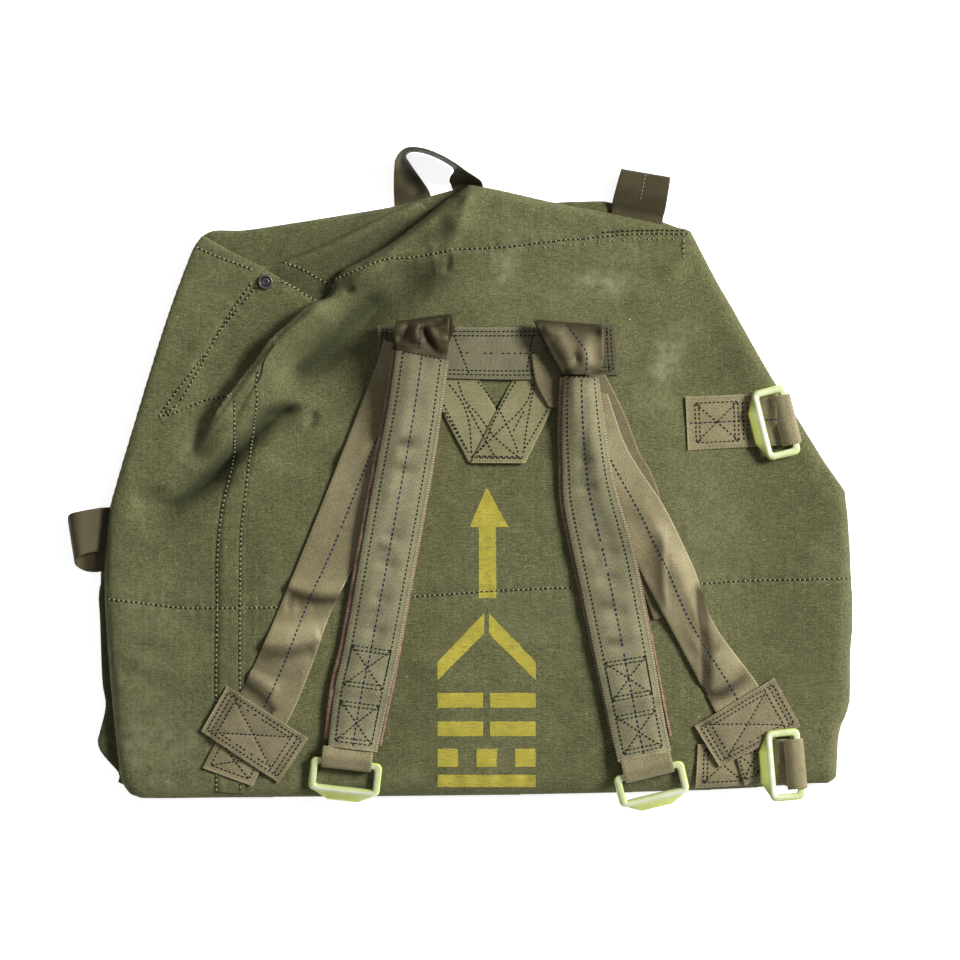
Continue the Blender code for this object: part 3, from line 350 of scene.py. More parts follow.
DARK_THREAD = thread_look("dark_thread", (0.010, 0.013, 0.011))
TAN_THREAD = thread_look("tan_thread", (0.340, 0.325, 0.190))
NAVY_THREAD = thread_look("navy_thread", (0.022, 0.026, 0.085))

# ---------------------------------------------------------------- curves and meshes

SPAN_POINTS = 16  # points between two given ones of a curve
FINE_STEP = 2.0
CUT_STATIONS = 14
WRINKLE_WAVES = 6
EDGE_SHARES = (0.0, 0.012, 0.035, 0.07)
SHARES = np.concatenate([EDGE_SHARES, np.linspace(0.11, 0.89, 19), 1 - np.array(EDGE_SHARES[::-1])])


def looked_up(stations, run, values):
    """Rows of values at stations along a run."""
    return np.stack([np.interp(stations, run, column) for column in values.T], axis=-1)


def run_along(points):
    """Length of a path up to each of its points."""
    return np.concatenate([[0], np.cumsum(np.linalg.norm(np.diff(points, axis=0), axis=1))])


def curve(points, step, closed=False):
    """Points at even steps on a smooth curve through the given ones."""
    known = np.array(points, float)
    if closed:
        padded = np.vstack([known[-1:], known, known[:2]])
    else:
        padded = np.vstack([2 * known[:1] - known[1:2], known, 2 * known[-1:] - known[-2:-1]])
    fine = []
    for before, here, there, after in zip(padded, padded[1:], padded[2:], padded[3:]):
        for t in np.arange(SPAN_POINTS) / SPAN_POINTS:
            fine.append(0.5 * (2 * here + (there - before) * t
                               + (2 * before - 5 * here + 4 * there - after) * t ** 2
                               + (3 * here - before - 3 * there + after) * t ** 3))
    fine = np.array([*fine, padded[-2]])
    run = run_along(fine)
    steps = max(1, round(run[-1] / step))
    spots = looked_up(np.linspace(0, run[-1], steps + 1), run, fine)
    return spots[:-1] if closed else spots


def straight(points, step):
    """Points at even steps along straight legs."""
    result = []
    for a, b in zip(points, points[1:]):
        a, b = np.array(a, float), np.array(b, float)
        count = max(1, int(np.linalg.norm(b - a) / step))
        result += [a + (b - a) * k / count for k in range(count)]
    return np.array([*result, np.array(points[-1], float)])


def resampled(points, shares):
    """Points at shares of the length of a smooth curve."""
    fine = curve(points, FINE_STEP)
    return looked_up(shares, np.linspace(0, 1, len(fine)), fine)


def evened(lines):
    """Lines of points, each given as many points as the longest one has."""
    stations = np.linspace(0, 1, max(len(line) for line in lines))
    return [looked_up(stations, np.linspace(0, 1, len(line)), line) for line in lines]


def cut(edges, start, end):
    """The part of a strip between two shares of its length."""
    return tuple(resampled(edge, np.linspace(start, end, CUT_STATIONS)) for edge in edges)


def inset(edges, first, last):
    """A strip between two shares of another one's width, each given at its start, middle and end."""
    shares = np.linspace(0, 1, CUT_STATIONS)
    left, right = (resampled(edge, shares) for edge in edges)
    first, last = (np.interp(shares, (0, 0.5, 1), share)[:, None] for share in (first, last))
    return left + (right - left) * first, left + (right - left) * last


def between(left, right):
    """A grid of points across a strip, from its left edge to its right one."""
    v = SHARES[None, :, None]
    return left[:, None, :] * (1 - v) + right[:, None, :] * v


def plan_grid(left, right, step):
    """A grid of places across and along a strip seen from above."""
    length = len(curve(left, FINE_STEP)) * FINE_STEP
    stations = np.linspace(0, 1, max(2, round(length / step) + 1))
    return between(resampled(left, stations), resampled(right, stations))


def softened(values, spread, axis):
    """Values along an axis, blurred over a number of steps."""
    reach = int(math.ceil(spread * 2.5))
    weights = np.exp(-0.5 * (np.arange(-reach, reach + 1) / spread) ** 2)
    padding = [(0, 0)] * values.ndim
    padding[axis] = (reach, reach)
    padded = np.pad(values, padding, mode="reflect", reflect_type="odd")
    result = np.zeros_like(values)
    for k, weight in enumerate(weights / weights.sum()):
        result = result + weight * np.take(padded, np.arange(k, k + values.shape[axis]), axis)
    return result


def across(line, spots):
    """Signed distance of each spot from a line (left of it is positive), and its share along it."""
    line = np.array(line, float)
    legs = np.diff(line, axis=0)
    lengths = np.linalg.norm(legs, axis=1)
    runs = run_along(line)
    best = np.full(len(spots), np.inf)
    side, share = np.zeros(len(spots)), np.zeros(len(spots))
    for start, leg, length, run in zip(line, legs, lengths, runs):
        away = spots - start
        t = np.clip(away @ leg / length ** 2, 0, 1)
        distance = np.linalg.norm(away - t[:, None] * leg, axis=1)
        nearer = distance < best
        best[nearer] = distance[nearer]
        side[nearer] = np.sign(leg[0] * away[:, 1] - leg[1] * away[:, 0])[nearer]
        share[nearer] = ((run + t * length) / runs[-1])[nearer]
    return best * side, share


def beside(line, spots, step=5.0):
    """Signed distance of each spot from a smooth line, and its share along it."""
    return across(curve(line, step), spots)


def edge_distance(outline, spots):
    """Distance of each spot from a closed outline."""
    return np.abs(across(np.vstack([outline, outline[:1]]), spots)[0])


def fade(share, start, end):
    """A share along a line turned into a strength that fades in at its start and out at its end."""
    ramp = np.clip(share / max(start, 1e-4), 0, 1) * np.clip((1 - share) / max(end, 1e-4), 0, 1)
    return ramp ** 2 * (3 - 2 * ramp)


def inside(outline, spots):
    """Which spots lie inside an outline."""
    result = np.zeros(len(spots), bool)
    x, y = spots[:, 0], spots[:, 1]
    for (x1, y1), (x2, y2) in zip(outline, np.roll(outline, -1, axis=0)):
        if y1 != y2:
            crossing = (y1 > y) != (y2 > y)
            result ^= crossing & (x < (x2 - x1) * (y - y1) / (y2 - y1) + x1)
    return result


def filled_outline(outline, inner):
    """Points and faces of a flat sheet inside an outline, through inner points too."""
    spots = [Vector(spot) for spot in np.concatenate([outline, *inner])]
    points, _, faces, _, _, _ = delaunay_2d_cdt(spots, [], [list(range(len(outline)))], 1, 1e-4)
    return np.array(points), [tuple(face) for face in faces]


def piece(name, points, faces, look, run=None, values=None, sharp=45, node=None, body="root"):
    """One shown object from points in millimetres."""
    mesh = bpy.data.meshes.new(name)
    mesh.from_pydata((np.asarray(points, float) * MM).tolist(), [], [list(map(int, f)) for f in faces])
    mesh.materials.append(look)
    if run is not None:
        layer = mesh.uv_layers.new(name="run")
        corners = np.zeros(len(mesh.loops), int)
        mesh.loops.foreach_get("vertex_index", corners)
        layer.data.foreach_set("uv", (np.asarray(run)[corners] * MM).ravel())
    for key, numbers in (values or {}).items():
        stored = mesh.attributes.new(key, "FLOAT", "POINT")
        stored.data.foreach_set("value", np.asarray(numbers, np.float32))
    mesh.shade_smooth()
    mesh.set_sharp_from_angle(angle=math.radians(sharp))
    made = bpy.data.objects.new(name, mesh)
    bpy.context.scene.collection.objects.link(made)
    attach(made, body)
    if node:
        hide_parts(node)
    return made


class Bed:
    """Surfaces seen from above, in millimetres."""

    def __init__(self, *things):
        points, faces = [], []
        for thing in things:
            offset = len(points)
            points += [tuple(c / MM for c in v.co) for v in thing.data.vertices]
            faces += [[offset + k for k in face.vertices] for face in thing.data.polygons]
        self.tree = BVHTree.FromPolygons(points, faces)

    def touch(self, x, y):
        """Height and upward direction at a place, or None."""
        hit, normal, _, _ = self.tree.ray_cast(Vector((x, y, SKY)), Vector((0, 0, -1)))
        return (hit.z, normal) if hit else None

    def spot(self, x, y):
        """Point and upward direction at a place, or None."""
        found = self.touch(x, y)
        return (np.array((x, y, found[0])), np.array(found[1])) if found else None

    def height(self, x, y, other=float("nan")):
        found = self.touch(x, y)
        return found[0] if found else other

    def heights(self, grid):
        return np.array([[self.height(*place) for place in row] for row in grid])

    def above(self, x, y, z):
        """Height of the first surface met going up from a little under a place, or infinity."""
        hit = self.tree.ray_cast(Vector((x, y, z - 6.0)), Vector((0, 0, 1)))[0]
        return hit.z if hit is not None else math.inf


def node_of(name):
    return frame["nodes"][name]


def height_span(node):
    """Lowest and highest point of a solid."""
    heights = [v.co.z / MM for v in node_of(node).data.vertices]
    return min(heights), max(heights)


def filled(heights):
    """A grid of heights whose missing ones are taken from their neighbours."""
    rows, columns = heights.shape
    for _ in range(rows + columns):
        gaps = np.isnan(heights)
        if not gaps.any():
            break
        padded = np.pad(heights, 1, constant_values=np.nan)
        around = np.stack([padded[:-2, 1:-1], padded[2:, 1:-1], padded[1:-1, :-2], padded[1:-1, 2:]])
        known = ~np.isnan(around)
        total = np.where(known, around, 0).sum(axis=0)
        count = known.sum(axis=0)
        heights = np.where(gaps & (count > 0), total / np.maximum(count, 1), heights)
    return heights


def near_line(line, spots, reach):
    """Which spots lie within reach of a line's box."""
    line = np.array(line, float)
    low, high = line.min(axis=0) - reach, line.max(axis=0) + reach
    return np.nonzero(((spots >= low) & (spots <= high)).all(axis=1))[0]


def relief(places, creases):
    """Height of soft creases over places: positive ones are ridges, negative ones are troughs."""
    spots = places.reshape(-1, 2)
    rise = np.zeros(len(spots))
    for line, height, left, right, start, end in creases:
        near = near_line(line, spots, 3 * max(left, right))
        off, share = beside(line, spots[near])
        spread = np.where(off > 0, left, right)
        rise[near] += height * np.exp(-(off / spread) ** 2) * fade(share, start, end)
    return rise.reshape(places.shape[:-1])


def wrinkles(plan, size, height):
    """Small smooth unevenness over a grid of places: the mean of a few waves."""
    x, y = plan[..., 0] / size, plan[..., 1] / size
    total = np.zeros(plan.shape[:-1])
    for _ in range(WRINKLE_WAVES):
        angle = CHANCE.uniform(0, math.tau)
        phase = CHANCE.uniform(0, math.tau)
        scale = CHANCE.uniform(0.6, 1.6)
        total += np.sin((x * math.cos(angle) + y * math.sin(angle)) * math.tau * scale + phase)
    return total / WRINKLE_WAVES * height

# ---------------------------------------------------------------- strips of webbing, cover and felt

SELVEDGE = 0.93  # share of the half width at which a strip starts to get thinner
SELVEDGE_SPAN = 0.07
FRAYING = 1.3  # length of a cut end that has frayed
DARKEST = 0.96
FEEL_WIDTH = 0.97  # share of a strip's width over which it feels its solid
LAID_SMOOTHING = 2.8  # in rows
GROUND_GAP = 0.3
GROUND_LOWEST = -1.0


class Strip:
    """A closed strip of cloth with a place for every share of its width and length."""

    def __init__(self, name, middle, thickness, look, slot, node=None, upright=False, soft_edge=0.55,
                 dark=None, cut_ends=(True, True), stains=()):
        rows, columns = middle.shape[:2]
        over = np.broadcast_to((middle[:, -1] - middle[:, 0])[:, None, :], middle.shape)
        normal = np.cross(over, np.gradient(middle, axis=0))
        normal = normal / np.linalg.norm(normal, axis=2)[:, :, None]
        if upright:
            normal = np.broadcast_to(np.array((0.0, 0.0, 1.0)), middle.shape)
        side = SHARES * 2 - 1
        thin = 1 - soft_edge * np.clip((np.abs(side) - SELVEDGE) / SELVEDGE_SPAN, 0, 1) ** 2
        half = (thickness / 2 * thin)[None, :, None]
        self.normal = normal
        self.top = middle + normal * half
        self.run = run_along(middle[:, columns // 2])
        self.length = self.run[-1]
        self.width = float(np.linalg.norm(middle[:, -1] - middle[:, 0], axis=1).mean())
        v = self.run[:, None] * np.ones((1, columns))
        run = np.stack([SHARES * self.width + 0 * v, v], axis=-1).reshape(-1, 2)
        # Painted light and shade: positive marks paint shade into the dark number, negative ones paint light
        # into the pale one.
        marks = relief(middle[..., :2], stains)
        shade = dark(SHARES[None, :], v / self.length) if dark else 0.0
        first_cut = cut_ends[0] * np.exp(-v / FRAYING)
        last_cut = cut_ends[1] * np.exp(-(self.length - v) / FRAYING)
        values = {"side": side + 0 * v,
                  "cut": first_cut + last_cut,
                  "dark": np.clip(shade + np.maximum(marks, 0), 0, DARKEST),
                  "pale": np.clip(np.maximum(-marks, 0), 0, 1)}
        points = np.concatenate([self.top.reshape(-1, 3), (middle - normal * half).reshape(-1, 3)])
        faces = outward(points, slab_faces(rows, columns))
        both_faces = {key: np.tile(value.ravel(), 2) for key, value in values.items()}
        self.object = piece(name, points, faces, look, np.tile(run, (2, 1)), both_faces, node=node)

    def place(self, across_share, along_mm):
        """Point on the top face and its outward direction."""
        row = np.interp(np.clip(along_mm, 0, self.length), self.run, np.arange(len(self.run)))
        column = np.interp(np.clip(across_share, 0, 1), SHARES, np.arange(len(SHARES)))
        i, j = min(int(row), len(self.run) - 2), min(int(column), len(SHARES) - 2)
        s, t = row - i, column - j

        def blend(grid):
            return ((grid[i, j] * (1 - s) + grid[i + 1, j] * s) * (1 - t)
                    + (grid[i, j + 1] * (1 - s) + grid[i + 1, j + 1] * s) * t)

        direction = blend(self.normal)
        return blend(self.top), direction / np.linalg.norm(direction)


def slab_faces(rows, columns):
    """Faces of a closed slab whose top grid of points comes before its bottom one."""
    size = rows * columns
    index = np.arange(size).reshape(rows, columns)
    a, b, c, d = index[:-1, :-1], index[1:, :-1], index[1:, 1:], index[:-1, 1:]
    upper = np.stack([a, b, c, d], axis=-1).reshape(-1, 4)
    lower = np.stack([a, d, c, b], axis=-1).reshape(-1, 4) + size
    ring = np.concatenate([index[:, 0], index[-1, 1:], index[-2::-1, -1], index[0, -2:0:-1]])
    after = np.roll(ring, -1)
    wall = np.stack([after, ring, ring + size, after + size], axis=-1)
    return np.concatenate([upper, lower, wall])


def outward(points, faces):
    """Four-sided faces of a closed surface, turned to look outward."""
    a, b, c, d = (points[faces[:, k]] for k in range(4))
    volume = (a * (np.cross(b, c) + np.cross(c, d))).sum()
    return faces[:, ::-1] if volume < 0 else faces


def felt_out(node, plan, smooth, *ends):
    """Heights of a solid's top over a grid, felt a little inside the grid's edges and softened."""
    centre = plan.mean(axis=1, keepdims=True)
    feel = centre + (plan - centre) * FEEL_WIDTH
    for end, inner in ends:
        feel[end] = feel[end] * 0.6 + feel[inner] * 0.4
    return softened(softened(filled(Bed(node_of(node)).heights(feel)), smooth, 0), 0.8, 1)


def laid_strip(name, edges, node, thickness, look, slot, step=2.2, rough=0.25, lift=None, creases=(),
               ground=None, **settings):
    """A strip that takes its height from the top of its solid and never dips into the ground."""
    plan = plan_grid(*edges, step)
    z = felt_out(node, plan, LAID_SMOOTHING, (0, 1), (-1, -2)) + wrinkles(plan, 34, rough)
    if lift is not None:
        z = z + lift(SHARES[None, :], np.linspace(0, 1, len(plan))[:, None])
    z = z + relief(plan, creases)
    if ground is not None:
        z = np.maximum(z, np.nan_to_num(ground.heights(plan), nan=GROUND_LOWEST) + thickness + GROUND_GAP)
    middle = np.dstack([plan, z - thickness / 2])
    return Strip(name, middle, thickness, look, slot, node=node, upright=True, **settings)


def folded_strip(name, rows, thickness, look, node, step, change=None, **settings):
    """A strip of webbing that follows rows of edge points in space."""
    middle = between(*evened([curve([row[k] for row in rows], step) for k in (0, 1)]))
    if change is not None:
        middle = change(middle)
    return Strip(name, middle, thickness, look, "webbing", node=node, **settings)


def declare(strip, held, *rests_on):
    return strip


def bump(u, v, centre, spread, height):
    """A soft round swelling at a share across and along."""
    return height * np.exp(-((u - centre[0]) / spread[0]) ** 2 - ((v - centre[1]) / spread[1]) ** 2)


def band(v, centre, spread, height):
    """A soft ridge, or a soft dark band, at a share of a width or length."""
    return height * np.exp(-((v - centre) / spread) ** 2)


def ramp_up(v, start, reach):
    """0 up to a share, and 1 from a reach beyond it."""
    return np.clip((v - start) / reach, 0, 1)


# ---------------------------------------------------------------- thread

ROW_STEP = 1.5
JITTER = 0.22  # how far a stitch's ends stray along its row
SWAY = 0.14  # and to its side
THREAD_SIDES = 5
SUNK = 0.12  # how deep the stitches between others lie


class Thread:
    """Stitches of one colour, gathered into one object."""

    def __init__(self, name, look, slot, width, pitch, share=0.78):
        self.name, self.look, self.slot = name, look, slot
        self.width, self.pitch, self.share = width, pitch, share
        self.points, self.faces = [], []

    def stitch(self, start, end, normal, width=None):
        """One raised stitch between two points."""
        width = width or self.width
        run = end - start
        length = np.linalg.norm(run)
        if length < 1e-6:
            return
        run = run / length
        side = np.cross(normal, run)
        side = side / np.linalg.norm(side)
        up = np.cross(run, side)
        base = len(self.points)
        self.points.append(start - up * width * 0.35)
        for share in (0.22, 0.78):
            middle = start + run * length * share + up * width * 0.12
            for k in range(THREAD_SIDES):
                angle = math.tau * k / THREAD_SIDES
                self.points.append(middle + (side * math.cos(angle) + up * math.sin(angle)) * width / 2)
        self.points.append(end - up * width * 0.35)
        first, second, last = base + 1, base + 1 + THREAD_SIDES, base + 1 + 2 * THREAD_SIDES
        for k in range(THREAD_SIDES):
            after = (k + 1) % THREAD_SIDES
            self.faces.append((base, first + after, first + k))
            self.faces.append((first + k, first + after, second + after, second + k))
            self.faces.append((last, second + k, second + after))

    def row(self, places, pitch=None, share=None, skip=0.0, other=None):
        """Stitches along a path of (point, normal) places that lie close together."""
        pitch = pitch or self.pitch
        share = share or self.share
        points, normals = (np.array(column) for column in zip(*places))
        run = run_along(points)
        if run[-1] < pitch:
            return
        count = max(1, round(run[-1] / pitch))
        size = run[-1] / count
        for k in range(count):
            if skip and CHANCE.random() < skip:
                continue
            a = (k + (1 - share) / 2) * size + CHANCE.uniform(-JITTER, JITTER)
            b = (k + (1 + share) / 2) * size + CHANCE.uniform(-JITTER, JITTER)
            start, end = looked_up((a, b), run, points)
            normal = looked_up((a + b) / 2, run, normals)
            sway = np.cross(normal, end - start)
            sway = sway / max(np.linalg.norm(sway), 1e-9) * CHANCE.uniform(-SWAY, SWAY)
            self.stitch(start + sway, end - sway, normal)
            if other is not None and k + 1 < count:
                gap = (b + size * 0.04, b + size * (1 - share) * 0.96)
                start, end = looked_up(gap, run, points) - normal * SUNK
                other.stitch(start, end, normal)

    def over(self, line, bed, **settings):
        """A row of stitches that lies on a bed, along a smooth line seen from above."""
        places = [bed.spot(x, y) for x, y in curve(line, ROW_STEP)]
        places = [place for place in places if place]
        if len(places) > 1:
            self.row(places, **settings)

    def zigzag(self, bed, start, end, pitch, width):
        """A zigzag row on a bed."""
        start, end = np.array(start, float), np.array(end, float)
        run = end - start
        length = np.linalg.norm(run)
        run = run / length
        side = np.array((-run[1], run[0])) * width / 2
        count = int(length / pitch)
        line = [start + run * length * k / count + side * (1 if k % 2 else -1) for k in range(count + 1)]
        places = [bed.spot(x, y) for x, y in line]
        for a, b in zip(places, places[1:]):
            if a and b:
                self.stitch(a[0], b[0], a[1])

    def along(self, strip, *line, **settings):
        """A row of stitches on a strip, along a line of (share across, length along).

        A length below zero counts back from the strip's end.
        """
        width = strip.width
        corners = [(u * width, v if v >= 0 else strip.length + v) for u, v in line]
        self.row([strip.place(u / width, v) for u, v in straight(corners, ROW_STEP)], **settings)

    def lengthways(self, strip, shares, start, end, **settings):
        """Rows along a strip, at shares of its width."""
        for u in shares:
            self.along(strip, (u, start), (u, end), **settings)

    def crossways(self, strip, margin, lengths, **settings):
        """Rows across a strip between its margins, at lengths along it."""
        for v in lengths:
            self.along(strip, (margin, v), (1 - margin, v), **settings)

    def box(self, strip, margin, start, end):
        """A sewn box, with its two diagonals, on a strip."""
        corners = ((margin, start), (1 - margin, start), (1 - margin, end), (margin, end), (margin, start))
        for a, b in zip(corners, corners[1:]):
            self.along(strip, a, b)
        self.along(strip, corners[0], corners[2])
        self.along(strip, corners[1], corners[3])

    def done(self):
        piece(self.name, np.array(self.points), self.faces, self.look, sharp=80)


dark_thread = Thread("harness_thread_dark", DARK_THREAD, "webbing", 1.15, 3.8)
tan_thread = Thread("bag_thread_tan", TAN_THREAD, "canvas", 1.75, 4.4)
bag_dark = Thread("bag_thread_dark", DARK_THREAD, "canvas", 1.45, 4.4)
light_thread = Thread("harness_thread_tan", TAN_THREAD, "webbing", 0.95, 3.6, 0.7)
navy_thread = Thread("harness_thread_navy", NAVY_THREAD, "webbing", 1.15, 4.4, 0.8)

# ---------------------------------------------------------------- seams and creases of the front

TOP_SEAM = (
    (-110, 175), (-93, 182), (-66, 192), (-43, 194), (-9, 200), (-7, 201), (39, 203), (88, 209), (105, 210),
    (131, 213), (160, 215), (202, 215),
)
TOP_FAINT = ((123, 216), (158, 218), (197, 218))
CORNER_ROW = ((196, 211), (195, 200), (196, 193))
HEM_ROW = ((-233, 204), (-213, 195), (-191, 187), (-182, 183))
HEM_ROW_END = ((-161, 174), (-150, 170), (-140, 164), (-127, 156))
HEM_DOUBLE = ((-162, 177), (-153, 172), (-142, 166), (-129, 159))
SEAM_A = (
    (-198, 70), (-198, 37), (-200, 11), (-209, -29), (-213, -72), (-213, -119), (-214, -178), (-214, -276),
)
SEAM_B = (
    (-177, 95), (-179, 81), (-178, 69), (-182, 41), (-188, -13), (-192, -48), (-193, -112), (-193, -166),
    (-193, -274),
)
SEAM_EDGE = (
    (-162, 118), (-172, 100), (-172, 74), (-175, 39), (-184, -18), (-188, -41), (-188, -112), (-189, -176),
    (-189, -276),
)
TRIANGLE_OUTER = ((-183, 173), (-204, 143), (-227, 106), (-249, 77), (-265, 55))
TRIANGLE_INNER = ((-178, 171), (-193, 152), (-213, 127), (-231, 94), (-248, 66), (-262, 56))
TRIANGLE_LOW = ((-265, 55), (-253, 57), (-236, 64), (-224, 69), (-213, 71), (-199, 75))
LEVEL_ROW = (
    (-312, -105), (-279, -109), (-243, -113), (-214, -113), (-184, -113), (-150, -112), (-100, -108),
    (-42, -103), (-13, -101), (28, -98), (72, -96), (100, -95), (160, -94), (209, -92), (256, -89),
    (307, -88), (343, -87),
)
GROOVES = (
    # line, depth, half width, height of the puckers beside it, their spacing
    (TOP_SEAM, 1.0, 2.6, 0.45, 17.0),
    (HEM_ROW, 0.5, 2.2, 0.25, 11.0),
    (SEAM_A, 0.6, 2.4, 0.40, 15.0),
    (SEAM_B, 0.6, 2.4, 0.40, 13.0),
    (TRIANGLE_OUTER, 0.6, 2.2, 0.35, 12.0),
    (TRIANGLE_INNER, 0.5, 2.2, 0.30, 13.0),
    (TRIANGLE_LOW, 0.5, 2.2, 0.30, 12.0),
    (LEVEL_ROW, 0.7, 2.4, 0.40, 16.0),
)
# Creases have a line, a height, a spread to the left and to the right, and the shares of the line over
# which they fade in and out. Tables of painted light and shade have the same, with a painted shade, or
# below zero a painted light, for the height.
CREASES = (
    (((7, 254), (2, 232), (-8, 204), (-14, 182)), 3.0, 5, 8, 0.1, 0.5),
    (((-6, 232), (-24, 220), (-44, 210), (-64, 202)), -4.5, 9, 6, 0.25, 0.4),
    (((-9, 200), (-11, 187), (-14, 178)), -2.2, 3, 4, 0.2, 0.4),
    (((-22, 196), (-51, 180), (-75, 167), (-99, 141), (-123, 119), (-147, 98), (-166, 82)),
     -7.5, 14, 10, 0.22, 0.15),
    (((-104, 165), (-126, 147), (-148, 126), (-168, 100), (-180, 80)), 2.6, 9, 9, 0.25, 0.25),
    (((-143, 74), (-170, 68), (-198, 46), (-225, 20), (-246, 2)), 4.0, 8, 7, 0.2, 0.4),
    (((-136, 63), (-154, 60), (-168, 54), (-186, 35), (-206, 16), (-235, -9), (-254, -20)),
     -7.0, 7, 5, 0.14, 0.3),
    (((-132, 61), (-129, 52), (-137, 42)), -3.0, 4, 4, 0.3, 0.4),
    (((-180, 84), (-198, 58), (-224, 29), (-242, 10)), -5.0, 14, 14, 0.3, 0.2),
    (((-103, 163), (-97, 165), (-92, 168)), -2.6, 2.5, 3, 0.3, 0.4),
    (((-108, 170), (-84, 178), (-58, 190)), 2.2, 6, 6, 0.3, 0.4),
    (((203, 187), (172, 168), (140, 150)), 2.2, 7, 10, 0.3, 0.4),
    (((179, 119), (168, 104), (160, 90)), 1.8, 6, 8, 0.3, 0.4),
    (((206, 206), (190, 196), (176, 192)), 1.8, 6, 6, 0.3, 0.5),
    (((-214, 150), (-240, 90), (-262, 20)), 1.6, 10, 10, 0.3, 0.3),
    (((-190, 150), (-214, 110), (-236, 70)), -1.6, 9, 9, 0.3, 0.3),
    (((-306, -40), (-270, -52), (-232, -60)), 1.8, 9, 12, 0.3, 0.5),
    (((-300, -150), (-262, -168), (-226, -170)), 1.5, 10, 12, 0.3, 0.4),
    (((-312, -217), (-300, -226), (-286, -226)), -2.4, 3, 4, 0.1, 0.5),
    (((330, -60), (290, -78), (250, -80)), 1.8, 10, 12, 0.3, 0.4),
    (((330, -130), (300, -150), (262, -158)), -1.6, 10, 12, 0.3, 0.4),
    (((-40, -262), (10, -246), (60, -250)), 1.4, 8, 10, 0.3, 0.4),
    (((-58, -150), (-20, -170), (-12, -220)), 1.6, 12, 12, 0.3, 0.4),
    (((110, 170), (80, 150), (60, 150)), 1.3, 9, 9, 0.3, 0.4),
)
LEDGES = (
    # line, rise on its left, reach, drop on its right, reach, fade at the start and at the end
    (((-124, 155), (-140, 140), (-157, 125), (-170, 110), (-184, 91), (-205, 63), (-228, 31), (-240, 12)),
     2.4, 18, 1.0, 7, 0.03, 0.40),
)
LEDGE_STEEP = 1.3
# Painted shade in the troughs and on the shaded side of the big fold and the mouth, and painted light where
# the fold's cast shadow falls too dark; two broad ones even out how the light falls across the front.
FRONT_LIGHT_AND_SHADE = (
    (((-120, 157), (-140, 140), (-157, 125), (-170, 110), (-184, 91), (-205, 63), (-228, 31), (-242, 8)),
     0.40, 1.2, 4, 0.04, 0.35),
    (((-12, 190), (-44, 171), (-67, 159), (-92, 133), (-116, 112), (-140, 91), (-158, 76)),
     0.42, 12, 11, 0.12, 0.12),
    (((-58, 168), (-82, 154), (-110, 129), (-134, 104), (-148, 86)), 0.42, 10, 9, 0.15, 0.15),
    (((250, 170), (290, 20), (290, -210)), 0.11, 90, 80, 0.1, 0.1),
    (((-282, -100), (-270, -180), (-262, -262)), -0.22, 40, 30, 0.2, 0.1),
    (((-138, 63), (-154, 60), (-168, 54), (-183, 38), (-204, 17), (-235, -9), (-250, -19), (-272, -19)),
     0.85, 8, 7, 0.26, 0.15),
    (((-138, 63), (-147, 62), (-156, 59), (-166, 54)), 0.55, 3.5, 3.0, 0.2, 0.4),
    (((-192, 104), (-210, 72), (-226, 44), (-238, 20), (-246, 0)), -0.75, 8, 9, 0.15, 0.3),
    (((-2, 226), (-26, 212), (-48, 200)), 0.45, 8, 6, 0.2, 0.4),
    (((-9, 200), (-11, 187), (-14, 178)), 0.30, 3, 3, 0.2, 0.4),
    (((-103, 163), (-97, 165), (-90, 168)), 0.40, 3, 3, 0.3, 0.4),
    (((-132, 61), (-129, 52), (-137, 42)), 0.30, 4, 4, 0.3, 0.4),
    (((-150, 165), (-180, 120), (-222, 60)), 0.25, 10, 12, 0.3, 0.3),
    (((-318, -229), (-303, -231)), 0.5, 4, 4, 0.1, 0.3),
    (((-130, 146), (-150, 126), (-168, 106), (-190, 74), (-212, 44)), -0.10, 6, 6, 0.2, 0.3),
    (((-290, -262), (-230, -266), (-140, -262)), -0.30, 12, 12, 0.1, 0.3),
    (((-304, -120), (-296, -200), (-288, -262)), -0.30, 14, 12, 0.2, 0.1),
    (((-200, -230), (-170, -240), (-140, -246)), -0.25, 16, 16, 0.2, 0.3),
)
RUBBED = (
    # middle, half length, half width, turn in degrees, strength
    ((39, 187), 24, 10, 75, 1.05),
    ((128, 171), 28, 10, -10, 1.30),
    ((182, 105), 30, 13, 60, 1.10),
    ((203, 128), 18, 10, 40, 0.60),
    ((174, 66), 16, 12, 0, 0.45),
    ((60, 216), 40, 8, -8, 0.35),
    ((-273, -106), 42, 22, 0, 0.30),
    ((-250, -230), 55, 18, 0, 0.40),
    ((-150, -95), 34, 20, 10, 0.25),
    ((140, 200), 44, 10, -6, 0.30),
    ((-120, -258), 40, 9, 0, 0.35),
    ((60, -120), 60, 34, 0, 0.18),
    ((230, -60), 40, 60, 10, 0.16),
    ((300, -190), 22, 40, 0, 0.14),
    ((-60, 230), 44, 9, 34, 0.30),
    ((-150, 110), 40, 7, 52, 0.10),
    ((-230, 160), 14, 40, -20, 0.20),
    ((-12, 190), 8, 20, 0, 0.35),
    ((90, 160), 60, 20, 0, 0.16),
    ((-40, -262), 50, 8, 0, 0.25),
    ((200, -262), 30, 7, 0, 0.25),
)
SLING_LEFT_CREASES = (
    (((-156, -92), (-131, -98), (-98, -99)), 3.6, 6, 4, 0.05, 0.05),
    (((-152, -106), (-128, -111), (-102, -112)), -3.6, 4, 8, 0.05, 0.05),
    (((-178, -144), (-150, -144), (-122, -138)), 3.6, 6, 5, 0.05, 0.05),
    (((-184, -160), (-156, -160), (-128, -153)), -3.2, 5, 7, 0.05, 0.05),
    (((-198, -164), (-182, -172), (-160, -188)), 2.6, 6, 5, 0.05, 0.05),
    (((-114, 18), (-96, 22), (-70, 32)), 2.2, 6, 9, 0.1, 0.1),
)
